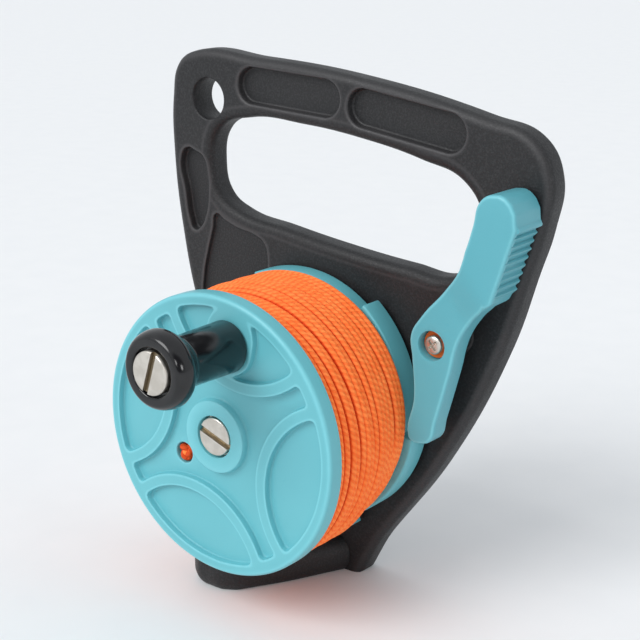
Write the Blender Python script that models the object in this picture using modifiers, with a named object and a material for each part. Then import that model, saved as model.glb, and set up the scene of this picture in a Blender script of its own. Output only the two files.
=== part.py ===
"""A hand-held dive reel: a spool of line that turns in front of a moulded handle plate.

The spool turns on a bolt through the plate, a crank knob turns on the spool, and a thumb lever
beside the spool swings its pawl away from the ratchet teeth. X is right, Y runs back from the spool
to the plate, Z is up. The origin is on the ground under the spool's axis, in the plate's middle plane.
"""

import math

import bmesh
import bpy
from mathutils import Vector

MM = 0.001
DEG = math.radians(1)
SHARP_ANGLE = 35 * DEG

# Clearances and overruns that every piece shares
GAP = 0.3 * MM
WELD = 0.001 * MM
OVERRUN = 2.0 * MM
OUTLINE_STEPS = 4
EDGE_STEPS = 1
TURN_STEPS = 40
SMALL_STEPS = 20

# Spool flanges
FLANGE_RADIUS = 40.0 * MM
FLANGE_THICKNESS = 4.6 * MM
FLANGE_EDGE = 1.4 * MM
RIM_WIDTH = 3.3 * MM
FACE_DEPTH = 1.9 * MM
RIDGE_WIDTH = 3.45 * MM
PETAL_COUNT = 4
PETAL_TURN = -14 * DEG
PETAL_CENTRE_SHARE = 1.105
PETAL_RADIUS_SHARE = 0.626
PETAL_CORNER = 1.5 * MM
ARM_INSET = 0.8 * MM
ARM_CORNER = 1.6 * MM
CORNER_STEPS = 3

# Hub of the front flange
BOSS_BASE_RADIUS = 10.6 * MM
BOSS_TOP_RADIUS = 10.2 * MM
BOSS_RISE = 0.2 * MM
LINE_HOLE_RADIUS = 3.0 * MM
LINE_HOLE_MARGIN = 2.0 * MM
LINE_HOLE_TURN = 212.3 * DEG

# Ratchet flange
RATCHET_STEP_DOWN = 0.2 * MM
RATCHET_THICKNESS = 7.5 * MM
RATCHET_EDGE = 0.6 * MM
TOOTH_COUNT = 6
TOOTH_HEIGHT = 3.8 * MM
TOOTH_TURN = 55.8 * DEG
TOOTH_STEPS = 10

# Drum, line and winding
LINE_SPAN = 32.5 * MM
DRUM_RADIUS = 10.5 * MM
DRUM_SEAT = 0.7 * MM
LINE_INSET = 2.6 * MM
LINE_DIAMETER = 1.9 * MM
LINE_GAP = 0.45 * MM
LINE_START = -95 * DEG
LOOP_POINTS = 24
BEND_POINTS = 4
CORE_EDGE = 0.8 * MM
KNOT_FLATNESS_SHARE = 0.58
KNOT_CLEARANCE = 0.5 * MM

# Spindle bolt, its sleeve, washers and nut
SPINDLE_RADIUS = 3.0 * MM
SPINDLE_HEAD_RADIUS = 5.4 * MM
SPINDLE_HEAD_THICKNESS = 1.9 * MM
HEAD_SLOT_WIDTH = 1.6 * MM
HEAD_SLOT_DEPTH = 0.9 * MM
HEAD_SLOT_TURN = -19.5 * DEG
HEAD_EDGE = 0.4 * MM
SLEEVE_WALL = 1.4 * MM
WASHER_THICKNESS = 1.0 * MM
WASHER_OVERLAP = 0.7 * MM
SPACER_WIDTH = 3.6 * MM
NUT_FLATS = 10.0 * MM
NUT_THICKNESS = 4.0 * MM
BOLT_END_INSET = 0.5 * MM

# Handle plate
PLATE_WIDTH = 131.3 * MM
PLATE_HEIGHT = 151.5 * MM
PLATE_THICKNESS = 9.0 * MM
PLATE_EDGE = 2.6 * MM
PLATE_SHARES = (
    (-0.4400, 0.800),
    (-0.4380, 0.910),
    (-0.4190, 0.974),
    (-0.3750, 0.999),
    (-0.1780, 0.997),
    (0.1080, 0.976),
    (0.4040, 0.929),
    (0.5190, 0.900),
    (0.5620, 0.836),
    (0.5500, 0.745),
    (0.5200, 0.661),
    (0.4670, 0.520),
    (0.3300, 0.282),
    (0.1810, 0.100),
    (0.0270, -0.080),
    (-0.0850, -0.080),
    (-0.1520, 0.050),
    (-0.2530, 0.235),
    (-0.3720, 0.470),
    (-0.4210, 0.650),
)
GRIP_MARGIN = 36.3 * MM
GRIP_WIDTH = PLATE_WIDTH - GRIP_MARGIN
GRIP_HEIGHT = 34.0 * MM
GRIP_PLACE_SHARES = (0.0457, 0.765)
GRIP_SHARES = (
    (-0.500, 0.040),
    (-0.470, 0.390),
    (-0.350, 0.515),
    (-0.130, 0.510),
    (0.080, 0.450),
    (0.290, 0.340),
    (0.440, 0.200),
    (0.500, -0.080),
    (0.485, -0.400),
    (0.400, -0.560),
    (0.250, -0.545),
    (0.000, -0.480),
    (-0.210, -0.400),
    (-0.400, -0.310),
    (-0.475, -0.180),
)
LANYARD_RADIUS = 6.1 * MM
LANYARD_CHAMFER = 0.6 * MM
LANYARD_PLACE_SHARES = (-0.321, 0.910)

# Shallow pockets in the front of the plate
SLOT_DEPTH = 1.2 * MM
SLOT_RADIUS = 5.3 * MM
SLOT_STEPS = 8
SLOT_END_SHARES = (
    ((-0.190, 0.944), (0.012, 0.934)),
    ((0.114, 0.923), (0.327, 0.896)),
)
POCKET_DEPTH = 1.8 * MM
POCKET_SHARES = (
    (
        (-0.409, 0.790),
        (-0.392, 0.806),
        (-0.347, 0.793),
        (-0.328, 0.752),
        (-0.313, 0.705),
        (-0.328, 0.668),
        (-0.360, 0.643),
        (-0.384, 0.655),
        (-0.398, 0.720),
    ),
    (
        (-0.304, 0.678),
        (-0.266, 0.664),
        (-0.187, 0.652),
        (-0.150, 0.625),
        (-0.158, 0.540),
        (-0.237, 0.480),
        (-0.313, 0.485),
        (-0.345, 0.560),
        (-0.328, 0.625),
    ),
)

# Foot under the spool, with the eye that guides the line
FOOT_CLEARANCE = 3.6 * MM
FOOT_HEIGHT = 10.9 * MM
FOOT_LENGTH = 32.5 * MM
FOOT_EDGE = 5.0 * MM
FOOT_EDGE_STEPS = 3
FOOT_SINK = 1.0 * MM
FOOT_WIDTH = 27.0 * MM
FOOT_SHARES = (
    (-0.648, -0.200),
    (-0.722, 0.000),
    (-0.833, 0.300),
    (-0.889, 0.770),
    (-0.848, 0.960),
    (-0.681, 1.062),
    (-0.381, 1.062),
    (-0.204, 0.978),
    (0.124, 0.537),
    (0.437, 0.000),
    (0.585, -0.200),
)
EYE_RADIUS = 3.4 * MM
EYE_PLACE_SHARES = (-0.460, 0.720)

# Thumb lever
LEVER_WIDTH = 31.5 * MM
LEVER_LENGTH = 71.0 * MM
ARM_THICKNESS = 6.5 * MM
LEVER_EDGE = 0.5 * MM
PIVOT_STANDOFF = 14.9 * MM
PIVOT_TURN = 29.42 * DEG
PAWL_OVERLAP = 2.6 * MM
PAWL_CLEARANCE = 0.75 * MM
PAD_DEPTH = 13.2 * MM
PAD_CLEARANCE = 1.3 * MM
PAWL_TIP_SHARES = (-0.235, -0.386)
LEVER_SHARES = (
    (-0.235, -0.378),
    (-0.180, -0.220),
    (-0.200, -0.060),
    (-0.216, 0.026),
    (-0.110, 0.106),
    (0.110, 0.215),
    (0.290, 0.322),
    (0.398, 0.480),
    (0.455, 0.570),
    (0.581, 0.600),
    (0.715, 0.580),
    (0.760, 0.516),
    (0.692, 0.396),
    (0.590, 0.262),
    (0.520, 0.186),
    (0.385, 0.121),
    (0.265, 0.035),
    (0.184, -0.097),
    (0.050, -0.300),
    (-0.010, -0.383),
    (-0.110, -0.400),
    (-0.205, -0.396),
)
PAD_SHARES = (
    (0.785, 0.515),
    (0.762, 0.550),
    (0.720, 0.583),
    (0.658, 0.600),
    (0.581, 0.602),
    (0.455, 0.570),
    (0.396, 0.480),
    (0.330, 0.385),
    (0.290, 0.318),
    (0.400, 0.235),
    (0.520, 0.176),
)
SERRATION_COUNT = 9
SERRATION_START_SHARES = (0.575, 0.188)
SERRATION_END_SHARES = (0.794, 0.483)
SERRATION_DEPTH = 1.2 * MM

# Lever pivot
POST_RADIUS = 3.2 * MM
POST_BASE_RADIUS = 5.4 * MM
POST_BASE_HEIGHT = 2.6 * MM
LEVER_SCREW_RADIUS = 2.0 * MM
LEVER_HEAD_RADIUS = 2.9 * MM
LEVER_HEAD_THICKNESS = 1.8 * MM
LEVER_WASHER_THICKNESS = 0.6 * MM
LEVER_RECESS_RADIUS = 4.1 * MM
LEVER_RECESS_DEPTH = 3.5 * MM
SCREW_END_INSET = 3.0 * MM
CROSS_LENGTH_SHARE = 0.6
CROSS_WIDTH_SHARE = 0.2
CROSS_DEPTH = 1.0 * MM
SPRING_WIRE = 0.8 * MM
SPRING_TURNS = 1.5
SPRING_LOOP_POINTS = 12
SPRING_LEG = 5.0 * MM

# Crank knob and its screw
KNOB_PLACE_SHARE = 0.689
KNOB_TURN = 78.4 * DEG
KNOB_PAD_RADIUS = 8.1 * MM
KNOB_RADIUS = 7.2 * MM
KNOB_WAIST_RADIUS = 6.9 * MM
KNOB_LENGTH = 28.3 * MM
KNOB_CAP_RADIUS = 10.5 * MM
KNOB_CAP_DEPTH = 4.2 * MM
KNOB_FLARE = 6.5 * MM
KNOB_LIP = 1.9 * MM
KNOB_EDGE = 0.5 * MM
KNOB_STEPS = 6
KNOB_SCREW_RADIUS = 3.0 * MM
KNOB_HEAD_RADIUS = 5.8 * MM
KNOB_RECESS_MARGIN = 0.7 * MM
KNOB_HEAD_THICKNESS = 2.4 * MM
KNOB_HEAD_PROUD = 0.7 * MM
KNOB_SLOT_WIDTH = 1.7 * MM
KNOB_SLOT_DEPTH = 1.1 * MM
KNOB_SLOT_TURN = 72 * DEG
KNOB_NUT_FLATS = 10.0 * MM
KNOB_NUT_THICKNESS = 1.9 * MM

# Depths along Y, from the plate's middle plane
PLATE_BACK = PLATE_THICKNESS / 2
PLATE_FRONT = -PLATE_THICKNESS / 2
SPACER_BACK = PLATE_FRONT - GAP
RATCHET_BACK = SPACER_BACK - WASHER_THICKNESS - GAP
RATCHET_FRONT = RATCHET_BACK - RATCHET_THICKNESS
FLANGE_BACK = RATCHET_FRONT - LINE_SPAN
FLANGE_FRONT = FLANGE_BACK - FLANGE_THICKNESS
BOSS_FRONT = FLANGE_FRONT - BOSS_RISE
WASHER_FRONT = BOSS_FRONT + SPINDLE_HEAD_THICKNESS + GAP
HUB_SEAT = WASHER_FRONT + WASHER_THICKNESS + GAP
ARM_BACK = RATCHET_FRONT + PAWL_OVERLAP
ARM_FRONT = ARM_BACK - ARM_THICKNESS
PAD_BACK = PLATE_FRONT - PAD_CLEARANCE
PAD_FRONT = PAD_BACK - PAD_DEPTH
KNOB_BACK = FLANGE_FRONT - GAP
KNOB_FRONT = KNOB_BACK - KNOB_LENGTH
KNOB_HEAD_FRONT = KNOB_FRONT - KNOB_HEAD_PROUD

# Radii and places that follow from the sizes above
AXIS_HEIGHT = FLANGE_RADIUS + FOOT_CLEARANCE + FOOT_HEIGHT
SLEEVE_BORE = SPINDLE_RADIUS + GAP
SLEEVE_RADIUS = SLEEVE_BORE + SLEEVE_WALL
HUB_BORE = SLEEVE_RADIUS + GAP
HUB_WASHER_RADIUS = HUB_BORE + WASHER_OVERLAP
RATCHET_RADIUS = FLANGE_RADIUS - RATCHET_STEP_DOWN
LINE_RADIUS = FLANGE_RADIUS - LINE_INSET
WINDING_RADIUS = LINE_RADIUS - LINE_DIAMETER / 2
CORE_RADIUS = LINE_RADIUS - LINE_DIAMETER - GAP
LINE_HOLE_OFFSET = BOSS_BASE_RADIUS + LINE_HOLE_RADIUS + LINE_HOLE_MARGIN
KNOB_OFFSET = FLANGE_RADIUS * KNOB_PLACE_SHARE
KNOB_BORE = KNOB_SCREW_RADIUS + GAP
PIVOT_OFFSET = RATCHET_RADIUS + PIVOT_STANDOFF


def polar(radius, turn):
    """The point at this radius and angle, counterclockwise from +X as the front shows it."""
    return radius * math.cos(turn), radius * math.sin(turn)


def arc(centre, radius, start, end, steps):
    """Points along an arc, both ends included."""
    turns = [start + (end - start) * step / steps for step in range(steps + 1)]
    return [
        (centre[0] + radius * math.cos(turn), centre[1] + radius * math.sin(turn))
        for turn in turns
    ]


def material(name, colour, roughness, metallic=0.0):
    """A plain surface with the piece's colour, roughness and metallic value."""
    surface = bpy.data.materials.new(name)
    surface.use_nodes = True
    shader = surface.node_tree.nodes["Principled BSDF"]
    shader.inputs["Base Color"].default_value = (*colour, 1.0)
    shader.inputs["Roughness"].default_value = roughness
    shader.inputs["Metallic"].default_value = metallic
    return surface


def clear_scene():
    """Removes whatever the file starts with."""
    for obj in list(bpy.data.objects):
        bpy.data.objects.remove(obj, do_unlink=True)


def new_collection(name):
    """A collection of the scene with this name."""
    collection = bpy.data.collections.new(name)
    bpy.context.scene.collection.children.link(collection)
    return collection


def axis_empty(name, x, z, parent=None):
    """An empty on a joint's axis, which carries the pieces that turn on it."""
    empty = bpy.data.objects.new(name, None)
    empty.location = (x, 0.0, z)
    empty.parent = parent
    PARTS.objects.link(empty)
    return empty


def as_mesh(source, name):
    """The evaluated form of a curve or modifier stack as a mesh object, with its seams welded."""
    CUTTERS.objects.link(source)
    bpy.context.view_layer.update()
    graph = bpy.context.evaluated_depsgraph_get()
    mesh = bpy.data.meshes.new_from_object(source.evaluated_get(graph))
    form = bmesh.new()
    form.from_mesh(mesh)
    bmesh.ops.remove_doubles(form, verts=form.verts, dist=WELD)
    form.to_mesh(mesh)
    form.free()
    mesh.shade_smooth()
    mesh.set_sharp_from_angle(angle=SHARP_ANGLE)
    obj = bpy.data.objects.new(name, mesh)
    obj.matrix_world = source.matrix_world
    bpy.data.objects.remove(source, do_unlink=True)
    return obj


def outline_form(name, loops, thickness, middle, edge=0.0, upright=True, edge_steps=EDGE_STEPS):
    """A flat piece from closed outlines, inner ones as holes, with edges rounded by a bevel.

    Each loop is its points and whether a smooth curve runs through them. An upright piece has its
    outlines in X and Z and its middle plane at that Y. A flat one has them in X and Y, at that Z.
    """
    curve = bpy.data.curves.new(name, "CURVE")
    curve.dimensions = "2D"
    curve.fill_mode = "BOTH"
    curve.resolution_u = OUTLINE_STEPS
    curve.extrude = thickness / 2 - edge
    curve.bevel_depth = edge
    curve.bevel_resolution = edge_steps
    curve.offset = -edge
    for points, smooth in loops:
        add_spline(curve, points, smooth)
    source = bpy.data.objects.new(name + "_outline", curve)
    if upright:
        source.rotation_euler.x = math.pi / 2
        source.location.y = middle
    else:
        source.location.z = middle
    return as_mesh(source, name)


def add_spline(curve, points, smooth):
    """Adds one closed outline to a flat curve."""
    spline = curve.splines.new("BEZIER" if smooth else "POLY")
    knots = spline.bezier_points if smooth else spline.points
    knots.add(len(points) - 1)
    for knot, (across, along) in zip(knots, points):
        if smooth:
            knot.handle_left_type = "AUTO"
            knot.handle_right_type = "AUTO"
            knot.co = (across, along, 0.0)
        else:
            knot.co = (across, along, 0.0, 1.0)
    spline.use_cyclic_u = True


def turned_form(name, profile, steps=TURN_STEPS):
    """A piece turned about its own Y axis from points of radius and depth.

    The profile runs from the front to the back along the outside. Where it ends off the axis it
    closes on itself as a ring.
    """
    mesh = bpy.data.meshes.new(name)
    points = [(radius, 0.0, -depth) for radius, depth in profile]
    edges = [(index, index + 1) for index in range(len(points) - 1)]
    if profile[-1][0] > 0:
        edges.append((len(points) - 1, 0))
    mesh.from_pydata(points, edges, [])
    source = bpy.data.objects.new(name + "_profile", mesh)
    turn = source.modifiers.new("Turn", "SCREW")
    turn.steps = steps
    turn.render_steps = steps
    turn.use_merge_vertices = True
    turn.merge_threshold = WELD
    source.rotation_euler.x = math.pi / 2
    return as_mesh(source, name)


def rod_form(name, radius, front, back, edge=0.0, steps=TURN_STEPS):
    """A plain round bar between two depths, with chamfered ends where an edge is given."""
    profile = [(0.0, front)]
    if edge:
        profile += [(radius - edge, front), (radius, front + edge)]
        profile += [(radius, back - edge), (radius - edge, back)]
    else:
        profile += [(radius, front), (radius, back)]
    profile.append((0.0, back))
    return turned_form(name, profile, steps)


def ring_form(name, radius, bore, front, back, edge=0.0, steps=TURN_STEPS):
    """A washer, sleeve or tube between two depths, its outer edges chamfered by an edge."""
    profile = [(radius, front), (radius, back)]
    if edge:
        profile = [
            (radius - edge, front),
            (radius, front + edge),
            (radius, back - edge),
            (radius - edge, back),
        ]
    profile += [(bore, back), (bore, front)]
    return turned_form(name, profile, steps)


def hex_form(name, flats, front, back):
    """A six-sided prism between two depths."""
    corner = flats / math.sqrt(3)
    points = [polar(corner, math.pi * side / 3) for side in range(6)]
    return outline_form(name, [(points, False)], back - front, (front + back) / 2)


def box_form(name, size):
    """A box of this size in X, Y and Z about its own middle."""
    mesh = bpy.data.meshes.new(name)
    form = bmesh.new()
    bmesh.ops.create_cube(form, size=1.0)
    bmesh.ops.scale(form, vec=Vector(size), verts=form.verts)
    form.to_mesh(mesh)
    form.free()
    return bpy.data.objects.new(name, mesh)


def bar_form(name, width, length, front, back, turn):
    """A straight bar across the axis, turned in the front view, as a screwdriver slot cuts it."""
    bar = box_form(name, (length, back - front, width))
    bar.location.y = (front + back) / 2
    bar.rotation_euler.y = -turn
    return bar


def tube_form(name, points, diameter, sides_level=1):
    """One unbroken tube along these points, with closed ends."""
    curve = bpy.data.curves.new(name, "CURVE")
    curve.dimensions = "3D"
    curve.bevel_depth = diameter / 2
    curve.bevel_resolution = sides_level
    curve.use_fill_caps = True
    spline = curve.splines.new("POLY")
    spline.points.add(len(points) - 1)
    for knot, point in zip(spline.points, points):
        knot.co = (*point, 1.0)
    return as_mesh(bpy.data.objects.new(name + "_route", curve), name)


def put(obj, surface, x=0.0, z=0.0, parent=None):
    """Places a finished piece at this X and Z of its carrier and gives it its surface."""
    obj.location.x += x
    obj.location.z += z
    obj.parent = parent
    obj.data.materials.clear()
    obj.data.materials.append(surface)
    PARTS.objects.link(obj)
    return obj


def combine(obj, other, operation, x=0.0, z=0.0):
    """Joins a hidden form to a piece, or cuts it away, at this X and Z of the same carrier."""
    other.location.x += x
    other.location.z += z
    other.parent = obj.parent
    other.hide_render = True
    other.display_type = "WIRE"
    CUTTERS.objects.link(other)
    change = obj.modifiers.new(other.name, "BOOLEAN")
    change.operation = operation
    change.object = other


def cut(obj, cutter, x=0.0, z=0.0):
    combine(obj, cutter, "DIFFERENCE", x, z)


def join(obj, addition, x=0.0, z=0.0):
    combine(obj, addition, "UNION", x, z)


def on_plate(shares):
    """A point of the plate's front view, from the spool's axis, for its shares of the plate."""
    return shares[0] * PLATE_WIDTH, shares[1] * PLATE_HEIGHT - AXIS_HEIGHT


def grip_outline():
    """The hand opening's outline, from the spool's axis."""
    centre = on_plate(GRIP_PLACE_SHARES)
    return [
        (centre[0] + across * GRIP_WIDTH, centre[1] + along * GRIP_HEIGHT)
        for across, along in GRIP_SHARES
    ]


def stadium(start, end, radius):
    """A slot's outline with round ends, between the centres of its ends."""
    heading = math.atan2(end[1] - start[1], end[0] - start[0])
    quarter = math.pi / 2
    near = arc(start, radius, heading + quarter, heading + 3 * quarter, SLOT_STEPS)
    far = arc(end, radius, heading - quarter, heading + quarter, SLOT_STEPS)
    return near + far


def make_handle_plate(surface):
    """The moulded plate with its grip, lanyard hole, shallow pockets and lever post."""
    outer = [on_plate(shares) for shares in PLATE_SHARES]
    loops = [(outer, True), (grip_outline(), True)]
    plate = outline_form("handle_plate", loops, PLATE_THICKNESS, 0.0, PLATE_EDGE)
    put(plate, surface, z=AXIS_HEIGHT)
    cut_pockets(plate)
    add_post(plate)
    bolt_hole = rod_form("bolt_hole", SPINDLE_RADIUS + GAP, PLATE_FRONT - OVERRUN, PLATE_BACK)
    nut_pocket = hex_form(
        "nut_pocket", NUT_FLATS + 2 * GAP, PLATE_BACK - nut_pocket_depth(), PLATE_BACK + OVERRUN
    )
    lanyard_x, lanyard_z = on_plate(LANYARD_PLACE_SHARES)
    cut(plate, flared_bore("lanyard_hole"), lanyard_x, AXIS_HEIGHT + lanyard_z)
    cut(plate, bolt_hole, z=AXIS_HEIGHT)
    cut(plate, nut_pocket, z=AXIS_HEIGHT)
    cut_ground(plate)
    return plate


def flared_bore(name):
    """The lanyard hole's form, wider where it meets both faces of the plate."""
    wide = LANYARD_RADIUS + LANYARD_CHAMFER
    profile = [
        (0.0, PLATE_FRONT - OVERRUN),
        (wide + OVERRUN, PLATE_FRONT - OVERRUN),
        (LANYARD_RADIUS, PLATE_FRONT + LANYARD_CHAMFER),
        (LANYARD_RADIUS, PLATE_BACK - LANYARD_CHAMFER),
        (wide + OVERRUN, PLATE_BACK + OVERRUN),
        (0.0, PLATE_BACK + OVERRUN),
    ]
    return turned_form(name, profile)


def nut_pocket_depth():
    """How deep the nut sits in the plate's back."""
    return NUT_THICKNESS + 2 * GAP


def cut_pockets(plate):
    """Cuts the two slots of the top bar and the two pockets beside the grip."""
    floor = PLATE_FRONT + SLOT_DEPTH
    top = PLATE_FRONT - OVERRUN
    slots = [
        (stadium(on_plate(start), on_plate(end), SLOT_RADIUS), False)
        for start, end in SLOT_END_SHARES
    ]
    cut(
        plate,
        outline_form("bar_slots", slots, floor - top, (floor + top) / 2),
        z=AXIS_HEIGHT,
    )
    floor = PLATE_FRONT + POCKET_DEPTH
    pockets = [([on_plate(shares) for shares in table], True) for table in POCKET_SHARES]
    cut(
        plate,
        outline_form("side_pockets", pockets, floor - top, (floor + top) / 2),
        z=AXIS_HEIGHT,
    )


def add_post(plate):
    """Joins the lever's post to the plate and bores it for the screw and the spring's leg."""
    x, z = polar(PIVOT_OFFSET, PIVOT_TURN)
    front = ARM_BACK + GAP
    base = PLATE_FRONT - POST_BASE_HEIGHT
    profile = [
        (0.0, front),
        (POST_RADIUS, front),
        (POST_RADIUS, base),
        (POST_BASE_RADIUS, base),
        (POST_BASE_RADIUS, 0.0),
        (0.0, 0.0),
    ]
    join(plate, turned_form("lever_post", profile), x, AXIS_HEIGHT + z)
    bore = rod_form(
        "screw_hole",
        LEVER_SCREW_RADIUS + GAP,
        front - OVERRUN,
        PLATE_BACK - SCREW_END_INSET + GAP,
        steps=SMALL_STEPS,
    )
    cut(plate, bore, x, AXIS_HEIGHT + z)


def cut_ground(piece):
    """Trims a piece of the frame flat at the ground."""
    size = (PLATE_WIDTH, 3 * (FOOT_LENGTH + PLATE_THICKNESS), AXIS_HEIGHT)
    cut(piece, box_form(piece.name + "_ground", size), z=-AXIS_HEIGHT / 2)


def make_foot(surface):
    """The foot that reaches forward under the spool, with the eye for the line."""
    back = PLATE_FRONT - GAP

    def on_foot(shares):
        return shares[0] * FOOT_WIDTH, back - shares[1] * FOOT_LENGTH

    outline = [on_foot(shares) for shares in FOOT_SHARES]
    foot = outline_form(
        "line_guide_foot",
        [(outline, False)],
        FOOT_HEIGHT + FOOT_SINK,
        (FOOT_HEIGHT - FOOT_SINK) / 2,
        FOOT_EDGE,
        upright=False,
        edge_steps=FOOT_EDGE_STEPS,
    )
    put(foot, surface)
    x, y = on_foot(EYE_PLACE_SHARES)
    eye = outline_form(
        "line_eye",
        [(arc((x, y), EYE_RADIUS, 0.0, math.tau, SMALL_STEPS)[:-1], False)],
        FOOT_HEIGHT + 4 * OVERRUN,
        FOOT_HEIGHT / 2,
        upright=False,
    )
    cut(foot, eye)
    cut_ground(foot)
    plate_room = box_form("plate_room", (PLATE_WIDTH, FOOT_LENGTH, AXIS_HEIGHT))
    plate_room.location.y = back + FOOT_LENGTH / 2
    cut(foot, plate_room)


def make_spindle(steel, brass):
    """The slotted bolt that the spool turns on, with its sleeve, washers and nut."""
    washer_back = WASHER_FRONT + WASHER_THICKNESS
    bolt_end = PLATE_BACK - BOLT_END_INSET
    profile = [
        (0.0, BOSS_FRONT),
        (SPINDLE_HEAD_RADIUS - HEAD_EDGE, BOSS_FRONT),
        (SPINDLE_HEAD_RADIUS, BOSS_FRONT + HEAD_EDGE),
        (SPINDLE_HEAD_RADIUS, BOSS_FRONT + SPINDLE_HEAD_THICKNESS),
        (SPINDLE_RADIUS, BOSS_FRONT + SPINDLE_HEAD_THICKNESS),
        (SPINDLE_RADIUS, bolt_end - HEAD_EDGE),
        (SPINDLE_RADIUS - HEAD_EDGE, bolt_end),
        (0.0, bolt_end),
    ]
    bolt = put(turned_form("spindle_bolt", profile), steel, z=AXIS_HEIGHT)
    slot = bar_form(
        "spindle_slot",
        HEAD_SLOT_WIDTH,
        2 * SPINDLE_HEAD_RADIUS + OVERRUN,
        BOSS_FRONT - OVERRUN,
        BOSS_FRONT + HEAD_SLOT_DEPTH,
        HEAD_SLOT_TURN,
    )
    cut(bolt, slot, z=AXIS_HEIGHT)
    washer = ring_form("spindle_washer", HUB_WASHER_RADIUS, SLEEVE_BORE, WASHER_FRONT, washer_back)
    put(washer, steel, z=AXIS_HEIGHT)
    sleeve = ring_form(
        "spindle_sleeve", SLEEVE_RADIUS, SLEEVE_BORE, washer_back + GAP, PLATE_FRONT - GAP
    )
    put(sleeve, brass, z=AXIS_HEIGHT)
    spacer = ring_form(
        "spool_spacer", HUB_BORE + SPACER_WIDTH, HUB_BORE, SPACER_BACK - WASHER_THICKNESS, SPACER_BACK
    )
    put(spacer, steel, z=AXIS_HEIGHT)
    nut_back = PLATE_BACK - GAP
    nut = put(hex_form("spindle_nut", NUT_FLATS, nut_back - NUT_THICKNESS, nut_back), steel)
    nut.location.z += AXIS_HEIGHT
    bore = rod_form("nut_bore", SPINDLE_RADIUS + GAP, PLATE_FRONT, PLATE_BACK + OVERRUN)
    cut(nut, bore, z=AXIS_HEIGHT)


def petal_outline(turn):
    """One lens-shaped recess between the rim and a ridge, with small round corners."""
    rim = FLANGE_RADIUS - RIM_WIDTH
    distance = FLANGE_RADIUS * PETAL_CENTRE_SHARE
    radius = FLANGE_RADIUS * PETAL_RADIUS_SHARE
    outer = rim - PETAL_CORNER
    inner = radius - PETAL_CORNER
    # The corner's centre is one corner radius inside both arcs.
    reach = math.acos((outer**2 + distance**2 - inner**2) / (2 * outer * distance))
    corner = polar(outer, reach)
    facing = math.atan2(corner[1], corner[0] - distance)
    points = arc((0.0, 0.0), rim, -reach, reach, TURN_STEPS // 4)
    points += arc(corner, PETAL_CORNER, reach, facing, CORNER_STEPS)[1:]
    points += arc((distance, 0.0), radius, facing, math.tau - facing, TURN_STEPS // 3)[1:]
    corner = polar(outer, -reach)
    points += arc(corner, PETAL_CORNER, math.tau - facing, math.tau - reach, CORNER_STEPS)[1:-1]
    return [
        (x * math.cos(turn) - z * math.sin(turn), x * math.sin(turn) + z * math.cos(turn))
        for x, z in points
    ]


def star_outline():
    """The four-armed recess between the ridges, its arms running out to the rim."""
    distance = FLANGE_RADIUS * PETAL_CENTRE_SHARE
    radius = FLANGE_RADIUS * PETAL_RADIUS_SHARE + RIDGE_WIDTH
    step = math.tau / PETAL_COUNT
    half = distance * math.cos(step / 2) - radius
    mouth = FLANGE_RADIUS - RIM_WIDTH - ARM_INSET - ARM_CORNER
    corner_turn = math.atan2(half - ARM_CORNER, mouth)
    points = []
    for petal in range(PETAL_COUNT):
        turn = PETAL_TURN + petal * step
        centre = polar(distance, turn)
        points += arc(
            centre, radius, turn + math.pi + step / 2, turn + math.pi - step / 2, TURN_STEPS // 3
        )
        arm = turn + step / 2
        for side in (-1, 1):
            corner = polar(mouth, arm + side * corner_turn)
            quarter = math.pi / 4
            middle = arm + side * quarter
            points += arc(corner, ARM_CORNER, middle - quarter, middle + quarter, CORNER_STEPS)
    return points


def stepped_bore(name):
    """The front hub's bore, with the washer's recess in front and the drum's seat behind."""
    recess = HUB_WASHER_RADIUS + GAP
    seat = DRUM_RADIUS + GAP
    seat_floor = FLANGE_BACK - DRUM_SEAT
    profile = [
        (0.0, BOSS_FRONT - OVERRUN),
        (recess, BOSS_FRONT - OVERRUN),
        (recess, HUB_SEAT),
        (HUB_BORE, HUB_SEAT),
        (HUB_BORE, seat_floor),
        (seat, seat_floor),
        (seat, FLANGE_BACK + OVERRUN),
        (0.0, FLANGE_BACK + OVERRUN),
    ]
    return turned_form(name, profile)


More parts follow.
